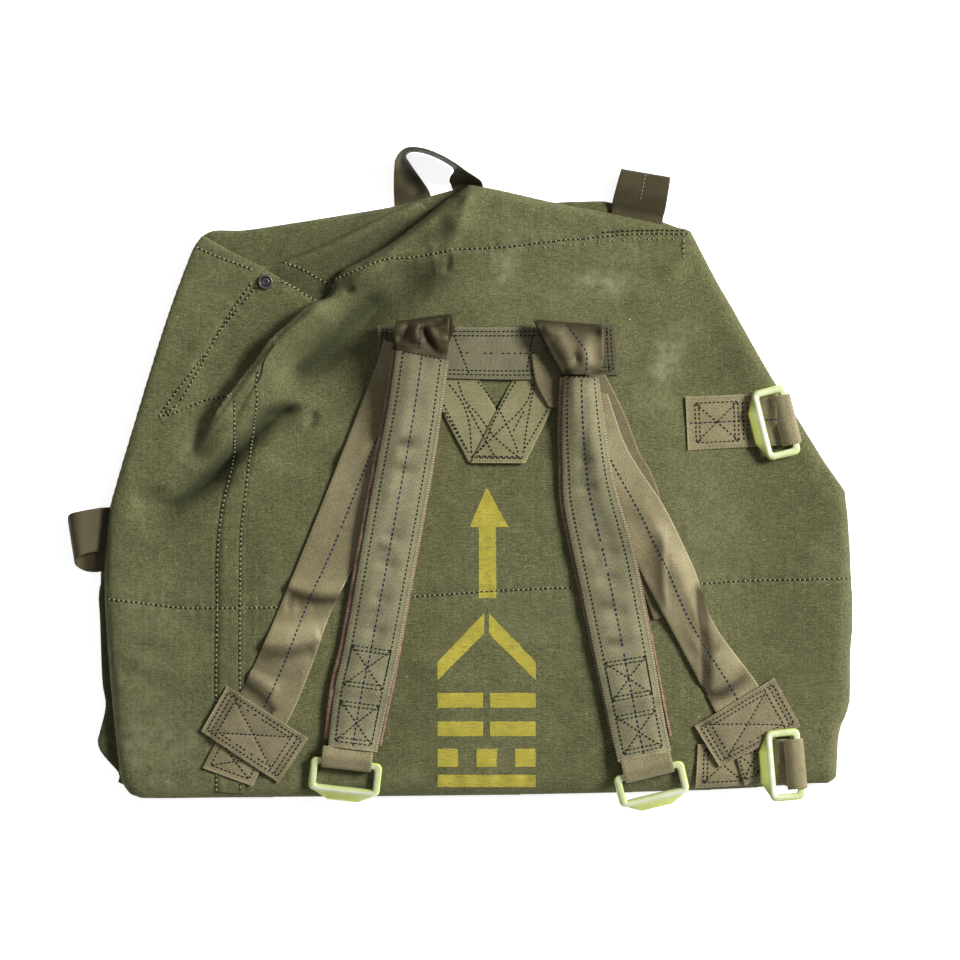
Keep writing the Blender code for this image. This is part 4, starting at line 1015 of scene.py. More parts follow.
# Painted shade in the troughs of the sling's folds, and painted light on a crest and on its upper part, which
# the strap shades.
SLING_LEFT_LIGHT_AND_SHADE = (
    (((-152, -99), (-131, -105), (-98, -106)), 0.80, 3, 7, 0.12, 0.0),
    (((-172, -128), (-144, -131), (-112, -126)), -0.45, 6, 8, 0.1, 0.1),
    (((-180, -154), (-150, -153), (-124, -146)), 0.55, 5, 6, 0.15, 0.1),
    (((-204, -170), (-190, -177), (-172, -191), (-162, -204)), 0.85, 4, 8, 0.0, 0.0),
    (((-96, 60), (-112, 20), (-124, -14)), -0.40, 8, 8, 0.1, 0.3),
    (((-182, -164), (-160, -168), (-138, -172)), 0.32, 11, 11, 0.0, 0.0),
)
SLING_RIGHT_CREASES = (
    (((207, -92), (211, -130), (212.5, -155), (212.5, -190)), -1.2, 8, 2.0, 0.25, 0.0),
    (((202, -92), (206, -130), (207.5, -155), (207.5, -186)), 1.4, 5, 10, 0.25, 0.0),
    (((177, -39), (177, -91), (180, -119)), 3.2, 2, 9, 0.3, 0.3),
)
# Painted shade along the twist's crease and below the fold, and painted highlights beside them.
SLING_RIGHT_LIGHT_AND_SHADE = (
    (((206, -88), (211, -130), (213, -155), (213, -190)), 1.6, 7, 1.8, 0.15, 0.0),
    (((222, -140), (228, -166), (232, -192)), 0.25, 9, 8, 0.2, 0.0),
    (((205, -92), (209, -130), (210, -155), (210, -186)), 0.35, 3, 9, 0.25, 0.0),
    (((212, -194), (235, -184), (256, -168)), 0.75, 5, 6, 0.0, 0.2),
    (((222, -150), (236, -158), (248, -162)), -0.40, 8, 8, 0.2, 0.2),
    (((184, -118), (194, -140), (206, -170)), -0.30, 6, 6, 0.1, 0.3),
    (((177, -39), (177, -91), (180, -119)), 0.70, 2, 6, 0.3, 0.2),
    (((192, -60), (200, -84), (204, -100)), -0.30, 6, 5, 0.3, 0.3),
)
# Painted shade in the covers' quilted dents and folds.
COVER_PAINTED_SHADE = {
    "left": (
        (((-58, 34), (-47, 32), (-36, 31)), 0.75, 4, 5, 0.35, 0.35),
        (((-62, 12), (-52, 10), (-42, 10)), 0.40, 4, 5, 0.35, 0.35),
        (((-76, -58), (-66, -60), (-56, -60)), 0.45, 4, 5, 0.35, 0.35),
        (((-84, -112), (-74, -114), (-64, -114)), 0.40, 4, 5, 0.35, 0.35),
    ),
    "right": (
        (((112, 46), (110, 22), (112, -4)), 0.45, 3, 4, 0.3, 0.3),
        (((110, -40), (118, -60), (126, -84)), 0.40, 4, 4, 0.3, 0.3),
        (((124, -140), (135, -142), (146, -142)), 0.55, 4, 5, 0.35, 0.35),
        (((118, -104), (128, -108), (140, -106)), 0.40, 4, 5, 0.35, 0.35),
    ),
}
HEAD_CREASES = {
    "left": (
        (((-33, 134), (-31, 125), (-25, 115), (-17, 104)), -3.4, 2.2, 3.2, 0.15, 0.2),
        (((-44, 142), (-47, 131), (-51, 124), (-56, 118)), -3.0, 3, 3, 0.1, 0.3),
        (((-38, 138), (-39, 127), (-41, 116)), 2.4, 4, 4, 0.1, 0.3),
        (((-12, 139), (-20, 135), (-28, 134)), -2.4, 2.5, 2.5, 0.2, 0.3),
        (((-13, 126), (-18, 117), (-14, 108)), 2.2, 4, 4, 0.2, 0.3),
        (((-27, 135), (-24, 127), (-18, 118)), 2.0, 2.5, 2.5, 0.2, 0.3),
    ),
    "right": (
        (((98, 136), (112, 131), (124, 127)), -2.6, 3.5, 4, 0.15, 0.2),
        (((84, 124), (92, 112), (98, 100)), 2.2, 6, 6, 0.2, 0.3),
        (((104, 118), (108, 108), (112, 94)), 2.2, 6, 5, 0.2, 0.2),
        (((100, 112), (101, 104), (102, 94)), -2.4, 3, 3, 0.3, 0.2),
        (((126, 106), (124, 98), (120, 92)), -2.4, 4, 4, 0.2, 0.2),
        (((72, 132), (82, 127), (92, 126)), 1.6, 4, 4, 0.2, 0.3),
    ),
}
# Painted shade in the heads' crumples and along their upper edges, and a painted highlight on the right head.
HEAD_LIGHT_AND_SHADE = {
    "left": (
        (((-58, 140), (-35, 142), (-8, 145)), 0.55, 9, 9, 0.0, 0.0),
        (((-58, 124), (-42, 122), (-36, 112)), 0.35, 8, 8, 0.1, 0.2),
        (((-33, 134), (-30, 124), (-24, 114), (-16, 103)), 0.75, 3, 3, 0.1, 0.2),
        (((-12, 134), (-10, 122), (-10, 108)), 0.45, 3, 5, 0.1, 0.1),
        (((-50, 137), (-52, 128), (-56, 118)), 0.5, 4, 4, 0.1, 0.2),
    ),
    "right": (
        (((66, 137), (94, 137), (124, 132)), 0.4, 6, 5, 0.0, 0.0),
        (((92, 137), (108, 130), (126, 126)), 0.4, 5, 7, 0.2, 0.1),
        (((108, 130), (114, 118), (112, 96)), -0.35, 6, 6, 0.3, 0.2),
        (((70, 134), (80, 118), (94, 96)), 0.4, 3, 7, 0.1, 0.1),
        (((90, 94), (108, 92), (126, 94)), 0.45, 4, 4, 0.0, 0.0),
    ),
}


def loosened(mesh_points, edges, rounds):
    """Points smoothed without shrinking."""
    degree = np.bincount(edges.ravel(), minlength=len(mesh_points)).astype(float)[:, None]
    for k in range(rounds):
        total = np.zeros_like(mesh_points)
        np.add.at(total, edges[:, 0], mesh_points[edges[:, 1]])
        np.add.at(total, edges[:, 1], mesh_points[edges[:, 0]])
        step = 0.5 if k % 2 == 0 else -0.51
        mesh_points = mesh_points + step * (total / degree - mesh_points)
    return mesh_points


def ledges(spots):
    """Height of folds with one steep side."""
    rise = np.zeros(len(spots))
    for line, rise_left, reach_left, drop, reach_right, start, end in LEDGES:
        near = near_line(line, spots, 3 * max(reach_left, reach_right))
        off, share = beside(line, spots[near], 3.0)
        step = 0.5 + 0.5 * np.tanh(off / LEDGE_STEEP)
        high = rise_left * np.exp(-(np.maximum(off, 0) / reach_left) ** 2) * step
        low = -drop * np.exp(-(np.minimum(off, 0) / reach_right) ** 2) * (1 - step)
        rise[near] += (high + low) * fade(share, start, end)
    return rise


def seam_grooves(spots):
    """Height of the sewn grooves and the puckers beside them."""
    rise = np.zeros(len(spots))
    for line, depth, half, pucker, spacing in GROOVES:
        path = curve(line, 4.0)
        near = near_line(line, spots, PUCKER_REACH)
        off, share = across(path, spots[near])
        phase = share * run_along(path)[-1] / spacing * math.tau
        ripple = np.sin(phase + 1.7 * np.sin(phase * 0.37)) + 0.5 * np.sin(phase * 2.3 + 1.0)
        puckers = pucker * ripple * np.exp(-(np.abs(off) / 9.0))
        rise[near] += (puckers - depth * np.exp(-(off / half) ** 2)) * fade(share, 0.02, 0.02)
    return rise


def rubbed(spots):
    """How far the canvas is rubbed pale at each place."""
    total = np.zeros(len(spots))
    for (x, y), long, wide, turn, strength in RUBBED:
        a = math.radians(turn)
        dx, dy = spots[:, 0] - x, spots[:, 1] - y
        u, v = dx * math.cos(a) + dy * math.sin(a), -dx * math.sin(a) + dy * math.cos(a)
        total = np.maximum(total, strength * np.exp(-(u / long) ** 2 - (v / wide) ** 2))
    return total


# ---------------------------------------------------------------- the canvas

EDGE_BOTTOM = (
    (-297, -268), (-288, -279), (-268, -281), (-190, -280), (-53, -279), (88, -277), (202, -274),
    (249, -272), (305, -268), (323, -268),
)
EDGE_RIGHT = (
    (331, -262), (333, -223), (342, -198), (343, -155), (345, -121), (343, -71), (341, -36), (338, -10),
)
EDGE_SLANT = ((319, 17), (303, 43), (270, 96), (240, 149), (225, 175), (209, 206))
EDGE_TOP = ((202, 219), (176, 225), (132, 234), (88, 242), (35, 254), (19, 257), (7, 259))
EDGE_MOUTH = ((-12, 246), (-36, 227), (-64, 206), (-96, 188), (-109, 181), (-112, 170), (-120, 157))
EDGE_HEM = ((-128, 158), (-150, 172), (-174, 187), (-203, 202), (-226, 215))
EDGE_LEFT = (
    (-229, 213), (-236, 202), (-256, 149), (-273, 96), (-289, 43), (-302, -1), (-310, -33), (-313, -79),
    (-312, -124), (-308, -177), (-303, -231), (-299, -261),
)
RIM_EDGES = (EDGE_BOTTOM, EDGE_RIGHT, EDGE_SLANT, EDGE_TOP, EDGE_MOUTH, EDGE_HEM, EDGE_LEFT)
RIM_LINE = np.concatenate([curve(edge, 6.0) for edge in RIM_EDGES])
BACK_EDGE = (
    (-292, -270), (-190, -277), (88, -274), (300, -265), (324, -262), (330, -225), (339, -196), (341, -121),
    (339, -40), (334, -10), (302, 40), (240, 144), (206, 206), (199, 217), (176, 227), (133, 243),
    (101, 244), (70, 244), (19, 254), (3, 256), (-26, 249), (-58, 240), (-105, 232), (-149, 225),
    (-190, 219), (-222, 217), (-236, 196), (-256, 143), (-287, 43), (-306, -20), (-316, -75), (-315, -124),
    (-312, -177), (-309, -200), (-312, -226), (-306, -244), (-299, -258),
)
GUSSET_EDGE = (
    (-290, -264), (-190, -272), (88, -269), (296, -260), (330, -196), (334, -110), (325, -20), (238, 136),
    (198, 196), (130, 200), (20, 214), (-22, 230), (-36, 243), (-61, 234), (-103, 214), (-149, 194),
    (-172, 187), (-214, 196), (-252, 120), (-284, 24), (-288, 8), (-276, -6), (-276, -46), (-277, -86),
    (-298, -91), (-314, -89), (-318, -102), (-317, -124), (-315, -177), (-312, -199), (-317, -222),
    (-319, -230), (-316, -240), (-302, -256),
)
GUSSET_FOLD = ((-172, 186), (-149, 194), (-103, 214), (-61, 234), (-36, 243))
BACK_FOLD = ((-236, 200), (-222, 216), (-190, 219), (-149, 225), (-105, 232), (-58, 240))
BODY_GRAIN = 2.15
BODY_ROUNDS = 30
FRONT_START = 9.5
FRONT_LOWEST = 8.8
FRONT_WRINKLES = ((130, 0.9), (34, 0.35), (11, 0.10))  # size and height
HARNESS_GAP = 0.25
MOST_RISE = 0.6  # of the front above its solid, where the harness covers it
UNDERSIDE = 7.4
PUCKER_REACH = 34.0
HARNESS = [n for n in frame["nodes"] if not n.startswith("bag_") and n != "snap_fastener"]
harness_bed = Bed(*(node_of(n) for n in HARNESS))


def body_mesh():
    """Points, edges and faces of the filled body, evenly fine all over."""
    copy = bpy.data.objects.new("shape", node_of("bag_body").data.copy())
    bpy.context.scene.collection.objects.link(copy)
    remesh = copy.modifiers.new("Remesh", "REMESH")
    remesh.mode = "VOXEL"
    remesh.voxel_size = BODY_GRAIN * MM
    shaped = copy.evaluated_get(bpy.context.evaluated_depsgraph_get()).to_mesh()
    points = np.zeros(len(shaped.vertices) * 3)
    shaped.vertices.foreach_get("co", points)
    edges = np.zeros(len(shaped.edges) * 2, int)
    shaped.edges.foreach_get("vertices", edges)
    faces = [tuple(face.vertices) for face in shaped.polygons]
    bpy.data.objects.remove(copy)
    return points.reshape(-1, 3) / MM, edges.reshape(-1, 2), faces


def build_front():
    """The front's canvas, with the roundness of the filled body."""
    points, edges, faces = body_mesh()
    points = loosened(points, edges, BODY_ROUNDS)
    spots = points[:, :2]
    upper = points[:, 2] > FRONT_START
    rise = relief(spots, CREASES) + ledges(spots) + seam_grooves(spots)
    for size, height in FRONT_WRINKLES:
        rise = rise + wrinkles(spots, size, height)
    rise = rise * np.clip((edge_distance(RIM_LINE, spots) - 1.0) / 10.0, 0.15, 1)
    points[upper, 2] = np.maximum(points[upper, 2] + rise[upper], FRONT_LOWEST)
    solid = Bed(node_of("bag_body"))
    for i in np.nonzero(upper)[0]:
        x, y, z = points[i]
        ceiling = harness_bed.above(x, y, z)
        if ceiling < math.inf:
            points[i, 2] = min(z, ceiling - HARNESS_GAP, solid.height(x, y, z) + MOST_RISE)
    # Pale is rubbed wear plus painted light, and dark is painted shade, from the front's table of light and
    # shade.
    marks = relief(spots, FRONT_LIGHT_AND_SHADE)
    values = {"pale": np.clip(rubbed(spots) + np.maximum(-marks, 0), 0, 1) * upper,
              "dark": np.clip(marks, 0, 0.9) * upper}
    made = piece("front_canvas", points, faces, CANVAS, values=values, sharp=85, node="bag_body")
    lighten_underside(made)
    return made


def lighten_underside(made):
    """Joins the many small faces of the flat underside, which nothing shows."""
    shape = bmesh.new()
    shape.from_mesh(made.data)
    flat = [f for f in shape.faces if all(v.co.z < UNDERSIDE * MM for v in f.verts)]
    bmesh.ops.dissolve_faces(shape, faces=flat)
    shape.to_mesh(made.data)
    shape.free()


def flat_places(outline):
    """Inner points of a flat sheet: two rings inside its outline and a staggered grid."""
    step = np.roll(outline, -1, axis=0) - np.roll(outline, 1, axis=0)
    inward = np.stack([-step[:, 1], step[:, 0]], axis=1)
    inward = inward / np.linalg.norm(inward, axis=1)[:, None]
    if inside(outline, outline + inward * 0.5).mean() <= 0.5:
        inward = -inward
    kept = []
    for amount in (1.2, 3.5):
        ring = outline + inward * amount
        kept.append(ring[inside(outline, ring) & (edge_distance(outline, ring) > amount * 0.9)])
    rows = []
    for k, y in enumerate(np.arange(-285, 265, 7.0)):
        xs = np.arange(-345, 350, 8.0) + 4.0 * (k % 2)
        rows.append(np.stack([xs, np.full(len(xs), y)], axis=1))
    grid = np.concatenate(rows)
    grid = grid[inside(outline, grid)]
    kept.append(grid[edge_distance(outline, grid) > 6.5])
    return kept


def build_flat(name, edge, low, high, node, swell, shade):
    """A flat sheet of canvas with rounded edges, swollen where swell says."""
    outline = curve(edge, 5.0, closed=True)
    flat, faces = filled_outline(outline, flat_places(outline))
    edge_far = edge_distance(outline, flat)
    round_in = np.sqrt(np.clip(1 - (1 - np.clip(edge_far / 3.0, 0, 1)) ** 2, 0, 1))
    middle, half = (low + high) / 2, (high - low) / 2
    rise = swell(flat) * np.clip(edge_far / 3.0, 0, 1)
    top = np.column_stack([flat, middle + half * round_in + rise])
    bottom = np.column_stack([flat, middle - half * round_in])
    size, rim = len(flat), len(outline)
    faces += [tuple(size + k for k in reversed(face)) for face in faces]
    faces += [((k + 1) % rim, k, size + k, size + (k + 1) % rim) for k in range(rim)]
    pale = np.clip(np.exp(-edge_far / 2.0) * 0.5 + rubbed(flat) * 0.4, 0, 1)
    made = piece(name, np.concatenate([top, bottom]), faces, CANVAS, sharp=60, node=node,
                 values={"pale": np.tile(pale, 2), "dark": np.tile(shade(flat), 2)})


def hump(line, flat, height, away, spread, start, end):
    """Height of the two soft rims beside a fold."""
    off, share = beside(line, flat)
    return height * np.exp(-((np.abs(off) - away) / spread) ** 2) * fade(share, start, end)


def gusset_swell(flat):
    """The folded side stands up a little along its upper fold, inside the open mouth."""
    far = np.clip(edge_distance(RIM_LINE, flat) / 8.0, 0, 1)
    swollen = hump(GUSSET_FOLD, flat, 4.6, 5.0, 7.0, 0.06, 0.10) * far + wrinkles(flat, 40, 0.5) * far
    return np.where(inside(RIM_LINE, flat), 0, swollen)


def gusset_shade(flat):
    """Painted shade over the inside of the open mouth, starting a little off the upper fold."""
    return 0.44 * ramp_up(np.abs(beside(GUSSET_FOLD, flat)[0]), 2.0, 8.0)


def back_swell(flat):
    """The back's hem swells where it shows beyond the front and the folded side."""
    covered = inside(curve(GUSSET_EDGE, 8.0, closed=True), flat) | inside(RIM_LINE, flat)
    near = np.clip(np.abs(beside(GUSSET_FOLD, flat)[0]) / 8.0, 0, 1)
    return np.where(covered, 0, hump(BACK_FOLD, flat, 2.4, 6.0, 6.0, 0.05, 0.08) * near)


def back_shade(flat):
    """The back is darker close to the folded side."""
    return 0.10 + 0.22 * np.exp(-np.abs(beside(GUSSET_FOLD, flat)[0]) / 7.0)


build_flat("back_canvas", BACK_EDGE, 0.2, 2.9, "bag_back", back_swell, back_shade)
build_flat("side_canvas", GUSSET_EDGE, 3.4, 6.2, "bag_gusset", gusset_swell, gusset_shade)
front = build_front()
front_bed = Bed(front)

# ---------------------------------------------------------------- the harness

YOKE = (((-72, 135), (-12, 133), (65, 133), (136, 136)), ((-73, 91), (-12, 88), (63, 87), (139, 91)))
LEG_LEFT = (((-31, 101), (-17, 62), (7, 15)), ((8, 101), (33, 57), (55, 13)))
LEG_RIGHT = (((53, 101), (33, 62), (9, 14)), ((94, 101), (81, 64), (57, 14)))
TAIL_RIGHT = (((62, 109), (66, 84), (77, 63)), ((84, 114), (89, 90), (92, 62)))
SLING_LEFT = (
    ((-67, 122), (-73, 101), (-85, 70), (-130, -44), (-170, -140), (-189, -180), (-214, -230), (-226, -253)),
    (
        (-23, 108), (-30, 84), (-41, 53), (-86, -61), (-112, -114), (-130, -164), (-147, -205),
        (-170, -246), (-182, -269),
    ),
)
SLING_UNDER_RIGHT = (
    ((90, 92), (106, 42), (128, -16), (148, -70), (159, -97), (169, -123)),
    ((127, 91), (143, 59), (157, 23), (167, 6), (177, -24), (181, -60), (183, -90), (182, -120)),
)
SLING_RIGHT = (
    (
        (90, 84), (100, 44), (118, 0), (138, -42), (155, -76), (178, -120), (212, -183), (238, -232),
        (243, -250), (249, -269),
    ),
    (
        (129, 74), (143, 33), (157, 8), (177, -22), (191, -49), (206, -82), (223, -128), (262, -182),
        (268, -206), (267, -232), (262, -262),
    ),
)
ANCHORS = {
    "left": (((-204, -181), (-133, -227)), ((-227, -221), (-159, -266))),
    "right": (((205, -216), (275, -174)), ((227, -252), (298, -216))),
}
CUT_END = (False, True)
SEWN_ENDS = (False, False)


def yoke_dark(u, v):
    """The yoke's ends are darker, where the straps cover them."""
    return 0.55 * ramp_up(v, 0.90, 0.02) + 0.5 * ramp_up(-v, -0.09, 0.03)


def leg_dip(u, v):
    """The right leg's left edge is pressed down by the left leg."""
    return -1.1 * np.exp(-(u / 0.22) ** 2)


def patch_lift(u, v):
    """Stitch rows pull the patch down, and its margins and corners curl up."""
    margins = 0.7 * np.exp(-np.minimum(u, 1 - u) / 0.05) + 0.7 * np.exp(-np.minimum(v, 1 - v) / 0.03)
    cross = band(u - v, 0.0, 0.05, -0.6) + band(u + v, 1.0, 0.05, -0.6)
    return margins + cross + band(v, 0.10, 0.03, -0.6) + band(v, 0.90, 0.03, -0.6)


def lay(name, node, edges, look, below="front_canvas", slot="webbing", **settings):
    """A band of harness webbing that lies on what is below it."""
    return declare(laid_strip(name, edges, node, WEB, look, slot, **settings), "laid", below)


leg_left = lay("yoke_leg_left_webbing", "yoke_leg_left", LEG_LEFT, LEG_CLOTH, cut_ends=CUT_END)
leg_right = lay("yoke_leg_right_webbing", "yoke_leg_right", LEG_RIGHT, LEG_CLOTH, cut_ends=CUT_END,
                lift=leg_dip)
yoke = lay("yoke_cloth", "yoke_webbing", YOKE, YOKE_CLOTH, slot="yoke_web", dark=yoke_dark)
tail = lay("yoke_tail_webbing", "yoke_tail_right", TAIL_RIGHT, WEBBING, "yoke_cloth", cut_ends=SEWN_ENDS,
           dark=lambda u, v: 0.25 + 0.45 * u)
sling_left = lay("sling_left_webbing", "sling_left", SLING_LEFT, WEBBING, cut_ends=CUT_END, ground=front_bed,
                 stains=SLING_LEFT_LIGHT_AND_SHADE, creases=SLING_LEFT_CREASES)
# Painted shade: the lower right sling is darkened all over, where it lies under the right sling.
lay("sling_under_webbing", "sling_under_right", SLING_UNDER_RIGHT, WEBBING, cut_ends=SEWN_ENDS,
    ground=front_bed, dark=lambda u, v: 0.45)
sling_right = lay("sling_right_webbing", "sling_right", SLING_RIGHT, WEBBING, "sling_under_webbing",
                  cut_ends=CUT_END, ground=front_bed, stains=SLING_RIGHT_LIGHT_AND_SHADE, creases=SLING_RIGHT_CREASES)
anchors = [lay(f"anchor_{side}_patch", f"anchor_{side}", edges, PATCH, step=1.6, lift=patch_lift,
               ground=front_bed)
           for side, edges in ANCHORS.items()]

# ---------------------------------------------------------------- buckles

BUCKLE_HALF = 31.5
SLOT_HALF = 25.0
BAR = 3.0
SLOT_END = 22.0
RIDGE_END = 28.0
LIP_END = 35.0
PLATE = 3.0
HALF = PLATE / 2
RIDGE_RISE = 1.6
CORNER_STEPS = 5
# The path of webbing round a bar, as (along the lip, up): of a shoulder strap and of a side strap.
STRAP_TURN = ((-6.0, 3.2), (0.0, 3.2), (3.7, 2.6), (5.3, 0.0), (3.9, -2.9), (0.0, -3.4), (-6.0, -3.3))
SIDE_TURN = ((3.5, -3.3), (0.0, -3.3), (-3.5, -2.6), (-4.9, 0.0), (-3.5, 2.6), (0.0, 3.2),
             (4.4, 3.2), (8.0, 1.8), (11.5, -0.4))
BUCKLES = {
    # node: middle of the bar, heading of the lip in degrees, tilts to look through
    "strap_buckle_left": ((-99.5, -248.5), -96.5, (-16, 10)),
    "strap_buckle_right": ((164.7, -255.5), -76.5, (-18, 10)),
    "side_buckle_low": ((296.4, -249.2), 185, (-5, 7)),
    "side_buckle_high": ((288.2, 52.3), 194, (-5, 7)),
}
RINGS = (
    # half width, near and far end, corner, lip, its half width, height, the far side's further height
    (SLOT_HALF, BAR, SLOT_END, 2.0, SLOT_END, 12.0, 0.1, 0.3),
    (SLOT_HALF + 0.15, BAR - 0.15, SLOT_END + 0.15, 2.1, SLOT_END + 0.15, 12.0, HALF - 0.7, 0.8),
    (SLOT_HALF + 0.8, BAR - 0.8, SLOT_END + 0.9, 2.4, SLOT_END + 0.9, 12.0, HALF - 0.1, 1.2),
    (SLOT_HALF + 2.2, BAR - 2.2, SLOT_END + 2.6, 3.4, SLOT_END + 2.6, 12.5, HALF, RIDGE_RISE),
    (BUCKLE_HALF - 2.4, 1.4 - BAR, RIDGE_END - 2.2, 4.4, RIDGE_END - 2.2, 12.8, HALF, RIDGE_RISE),
    (BUCKLE_HALF - 1.0, 0.7 - BAR, RIDGE_END - 0.9, 5.1, RIDGE_END - 0.5, 13.0, HALF - 0.2, 1.0),
    (BUCKLE_HALF - 0.8, 0.5 - BAR, RIDGE_END - 0.5, 5.2, RIDGE_END + 0.6, 13.0, HALF - 0.3, 0.5),
    (BUCKLE_HALF - 0.3, 0.2 - BAR, RIDGE_END - 0.2, 5.4, LIP_END - 1.2, 13.2, HALF - 0.7, 0.0),
    (BUCKLE_HALF, -BAR, RIDGE_END, 5.5, LIP_END, 13.5, 0.0, 0.0),
    (BUCKLE_HALF - 0.4, 0.3 - BAR, RIDGE_END - 0.3, 5.3, LIP_END - 0.5, 13.4, 0.5 - HALF, 0.0),
    (BUCKLE_HALF - 1.2, 0.8 - BAR, RIDGE_END - 1.0, 5.0, LIP_END - 1.0, 13.0, -HALF, 0.0),
    (SLOT_HALF + 0.3, BAR - 0.3, SLOT_END + 0.3, 2.2, SLOT_END + 0.3, 12.0, -HALF, 0.0),
    (SLOT_HALF, BAR, SLOT_END, 2.0, SLOT_END, 12.0, 0.4 - HALF, 0.0),
)
FACE_RINGS = (3, 4)
RIM_RINGS = (7, 8, 9)
INNER_RINGS = (1, 6)
RIDGE_RING = 5


def buckle_ring(half, near, far, corner, lip, lip_half, height, ridge):
    """One ring of points round the frame, with a far side that can reach out to a lip."""
    ring = []
    for side, end in ((-1, near), (1, near), (1, far), (-1, far)):
        inward = 1 if end == near else -1
        arc = []
        for k in range(CORNER_STEPS):
            angle = math.pi / 2 * k / (CORNER_STEPS - 1)
            u = side * (half - corner * (1 - math.cos(angle)))
            arc.append((u, end + inward * corner * (1 - math.sin(angle))))
        if (side < 0) != (end == near):
            arc.reverse()
        ring += [(u, v, height + (ridge if end == far else 0.0)) for u, v in arc]
        if side > 0 and end == far:
            ring += [(lip_half, lip, height + ridge), (-lip_half, lip, height + ridge)]
    return ring


def buckle_frame(spot, heading, tilt):
    """Matrix, in millimetres, that puts the bar's middle at a spot and points the lip along a heading."""
    run = Vector((math.cos(heading), math.sin(heading), 0))
    over = Vector((run.y, -run.x, 0))
    lip = run * math.cos(tilt) + Vector((0, 0, math.sin(tilt)))
    up = over.cross(lip)
    if up.z < 0:
        over, up = -over, -up
    result = Matrix((over, lip, up)).transposed().to_4x4()
    result.translation = Vector((spot[0], spot[1], 0.0))
    return result


def solid_frame(node):
    """Where a buckle's solid lies: the tilt at which it is thinnest, and the height of its lower face."""
    spot, heading, tilts = BUCKLES[node]
    corners = [Vector(v.co) / MM for v in node_of(node).data.vertices]
    found = []
    for tilt in np.arange(tilts[0], tilts[1], 0.25):
        flat = buckle_frame(spot, math.radians(heading), math.radians(tilt)).inverted()
        heights = [(flat @ corner).z for corner in corners]
        found.append((max(heights) - min(heights), tilt, min(heights)))
    _, tilt, low = min(found, key=lambda entry: entry[0])
    place = buckle_frame(spot, math.radians(heading), math.radians(tilt))
    place.translation.z = (low + HALF) / place.col[2].z
    return place


def edge_wear(ring, v):
    """How yellow the plating is at a ring's points, which is most on the rim."""
    if ring in RIM_RINGS:
        return 0.8
    return 0.45 if ring in INNER_RINGS or (ring == RIDGE_RING and v > SLOT_END) else 0.1


def face_wear(ring, v):
    """How bare the metal is, which is most on the raised far bar."""
    if ring in FACE_RINGS:
        return 0.9 if v > SLOT_END + 1.5 else 0.15
    return 0.0


def build_buckle(node, place):
    rings = [buckle_ring(*row) for row in RINGS]
    points = np.array([place @ Vector(spot) for ring in rings for spot in ring])
    values = {"edge": [edge_wear(k, v) for k, ring in enumerate(rings) for _, v, _ in ring],
              "worn": [face_wear(k, v) for k, ring in enumerate(rings) for _, v, _ in ring]}
    size = len(rings[0])
    faces = []
    for k in range(len(rings)):
        here, there = k * size, (k + 1) % len(rings) * size
        for i in range(size):
            after = (i + 1) % size
            faces.append((here + i, here + after, there + after, there + i))
    piece(f"{node}_metal", points, outward(points, np.array(faces)), ZINC, sharp=70, node=node,
          values=values)


def turn_rows(place, turn):
    """Both edges in space of webbing that follows a path round a bar."""
    edges = (-WEB_WIDTH / 2, WEB_WIDTH / 2)
    return [tuple(tuple(place @ Vector((u, v, w))) for u in edges) for v, w in turn]


bars = {node: solid_frame(node) for node in BUCKLES}
for buckle_node, bar in bars.items():
    build_buckle(buckle_node, bar)

# ---------------------------------------------------------------- shoulder straps

PADS = {
    "left": (
        ((-59, 115), (-66, 67), (-78, 6), (-105, -142), (-114, -180), (-120, -232)),
        ((-10, 105), (-15, 67), (-24, 6), (-53, -156), (-61, -195), (-70, -238)),
    ),
    "right": (
        ((87, 91), (85, 47), (86, 6), (88, -28), (104, -101), (118, -165), (131, -222), (135, -240)),
        ((121, 90), (125, 56), (134, 0), (151, -59), (165, -123), (175, -174), (183, -216), (186, -229)),
    ),
}
COVER_INSET = {
    "left": ((0.07, 0.075, 0.09), (0.995, 0.985, 0.95)),
    "right": ((0.09, 0.05, 0.02), (1.0, 0.985, 0.93)),
}
COVER_REACH = {"left": 1.0, "right": 8.0}
COVER_START = 0.004
FELT_ENDS = (0.006, 0.986)
HEADS = {
    "left": (
        ((-60, 99), (-14, 96), 0.0), ((-59, 118), (-12, 114), 0.0), ((-57.5, 130), (-4.5, 131), 0.10),
        ((-57, 134.6), (-6.5, 138.4), 0.25), ((-56.5, 137), (-8, 143.5), 0.5),
        ((-57, 134.6), (-8.8, 140.4), 0.87), ((-57.5, 129), (-9.6, 132), 1.0),
        ((-57.6, 121), (-10.5, 116), 1.0), ((-56.0, 112.4), (-10.4, 103.6), 1.0),
    ),
    "right": (
        ((75, 100), (116, 97), 0.0), ((72, 116), (119, 114), 0.0), ((68, 129), (121.5, 126), 0.02),
        ((65.5, 135), (123, 131), 0.13), ((64, 138.6), (124, 133.8), 0.5),
        ((66, 135.6), (124.5, 131.5), 0.87), ((70, 128), (125, 124), 1.0), ((79, 110), (125, 107), 1.0),
        ((89, 91.6), (121.5, 90.6), 1.0),
    ),
}
# Painted shade over the folded heads, deeper on the left one.
HEAD_PAINTED_SHADE = {"left": 0.84, "right": 0.56}
STRIP_ROOM = 0.95  # from the felt's end to the webbing round the buckle's bar
UPPER_END = 1.2
LOWER_END = 2.2
FELT_DENT = 3.2
QUILTED = (0.22, 0.29, 0.46, 0.53, 0.62, 0.70)  # shares of the cover's length


def felt_lift(u, v):
    """Under the cover the felt is pressed flat, so only its two margins stand up."""
    return -FELT_DENT * ramp_up(u, 0.08, 0.06) * ramp_up(-u, -0.97, 0.06)


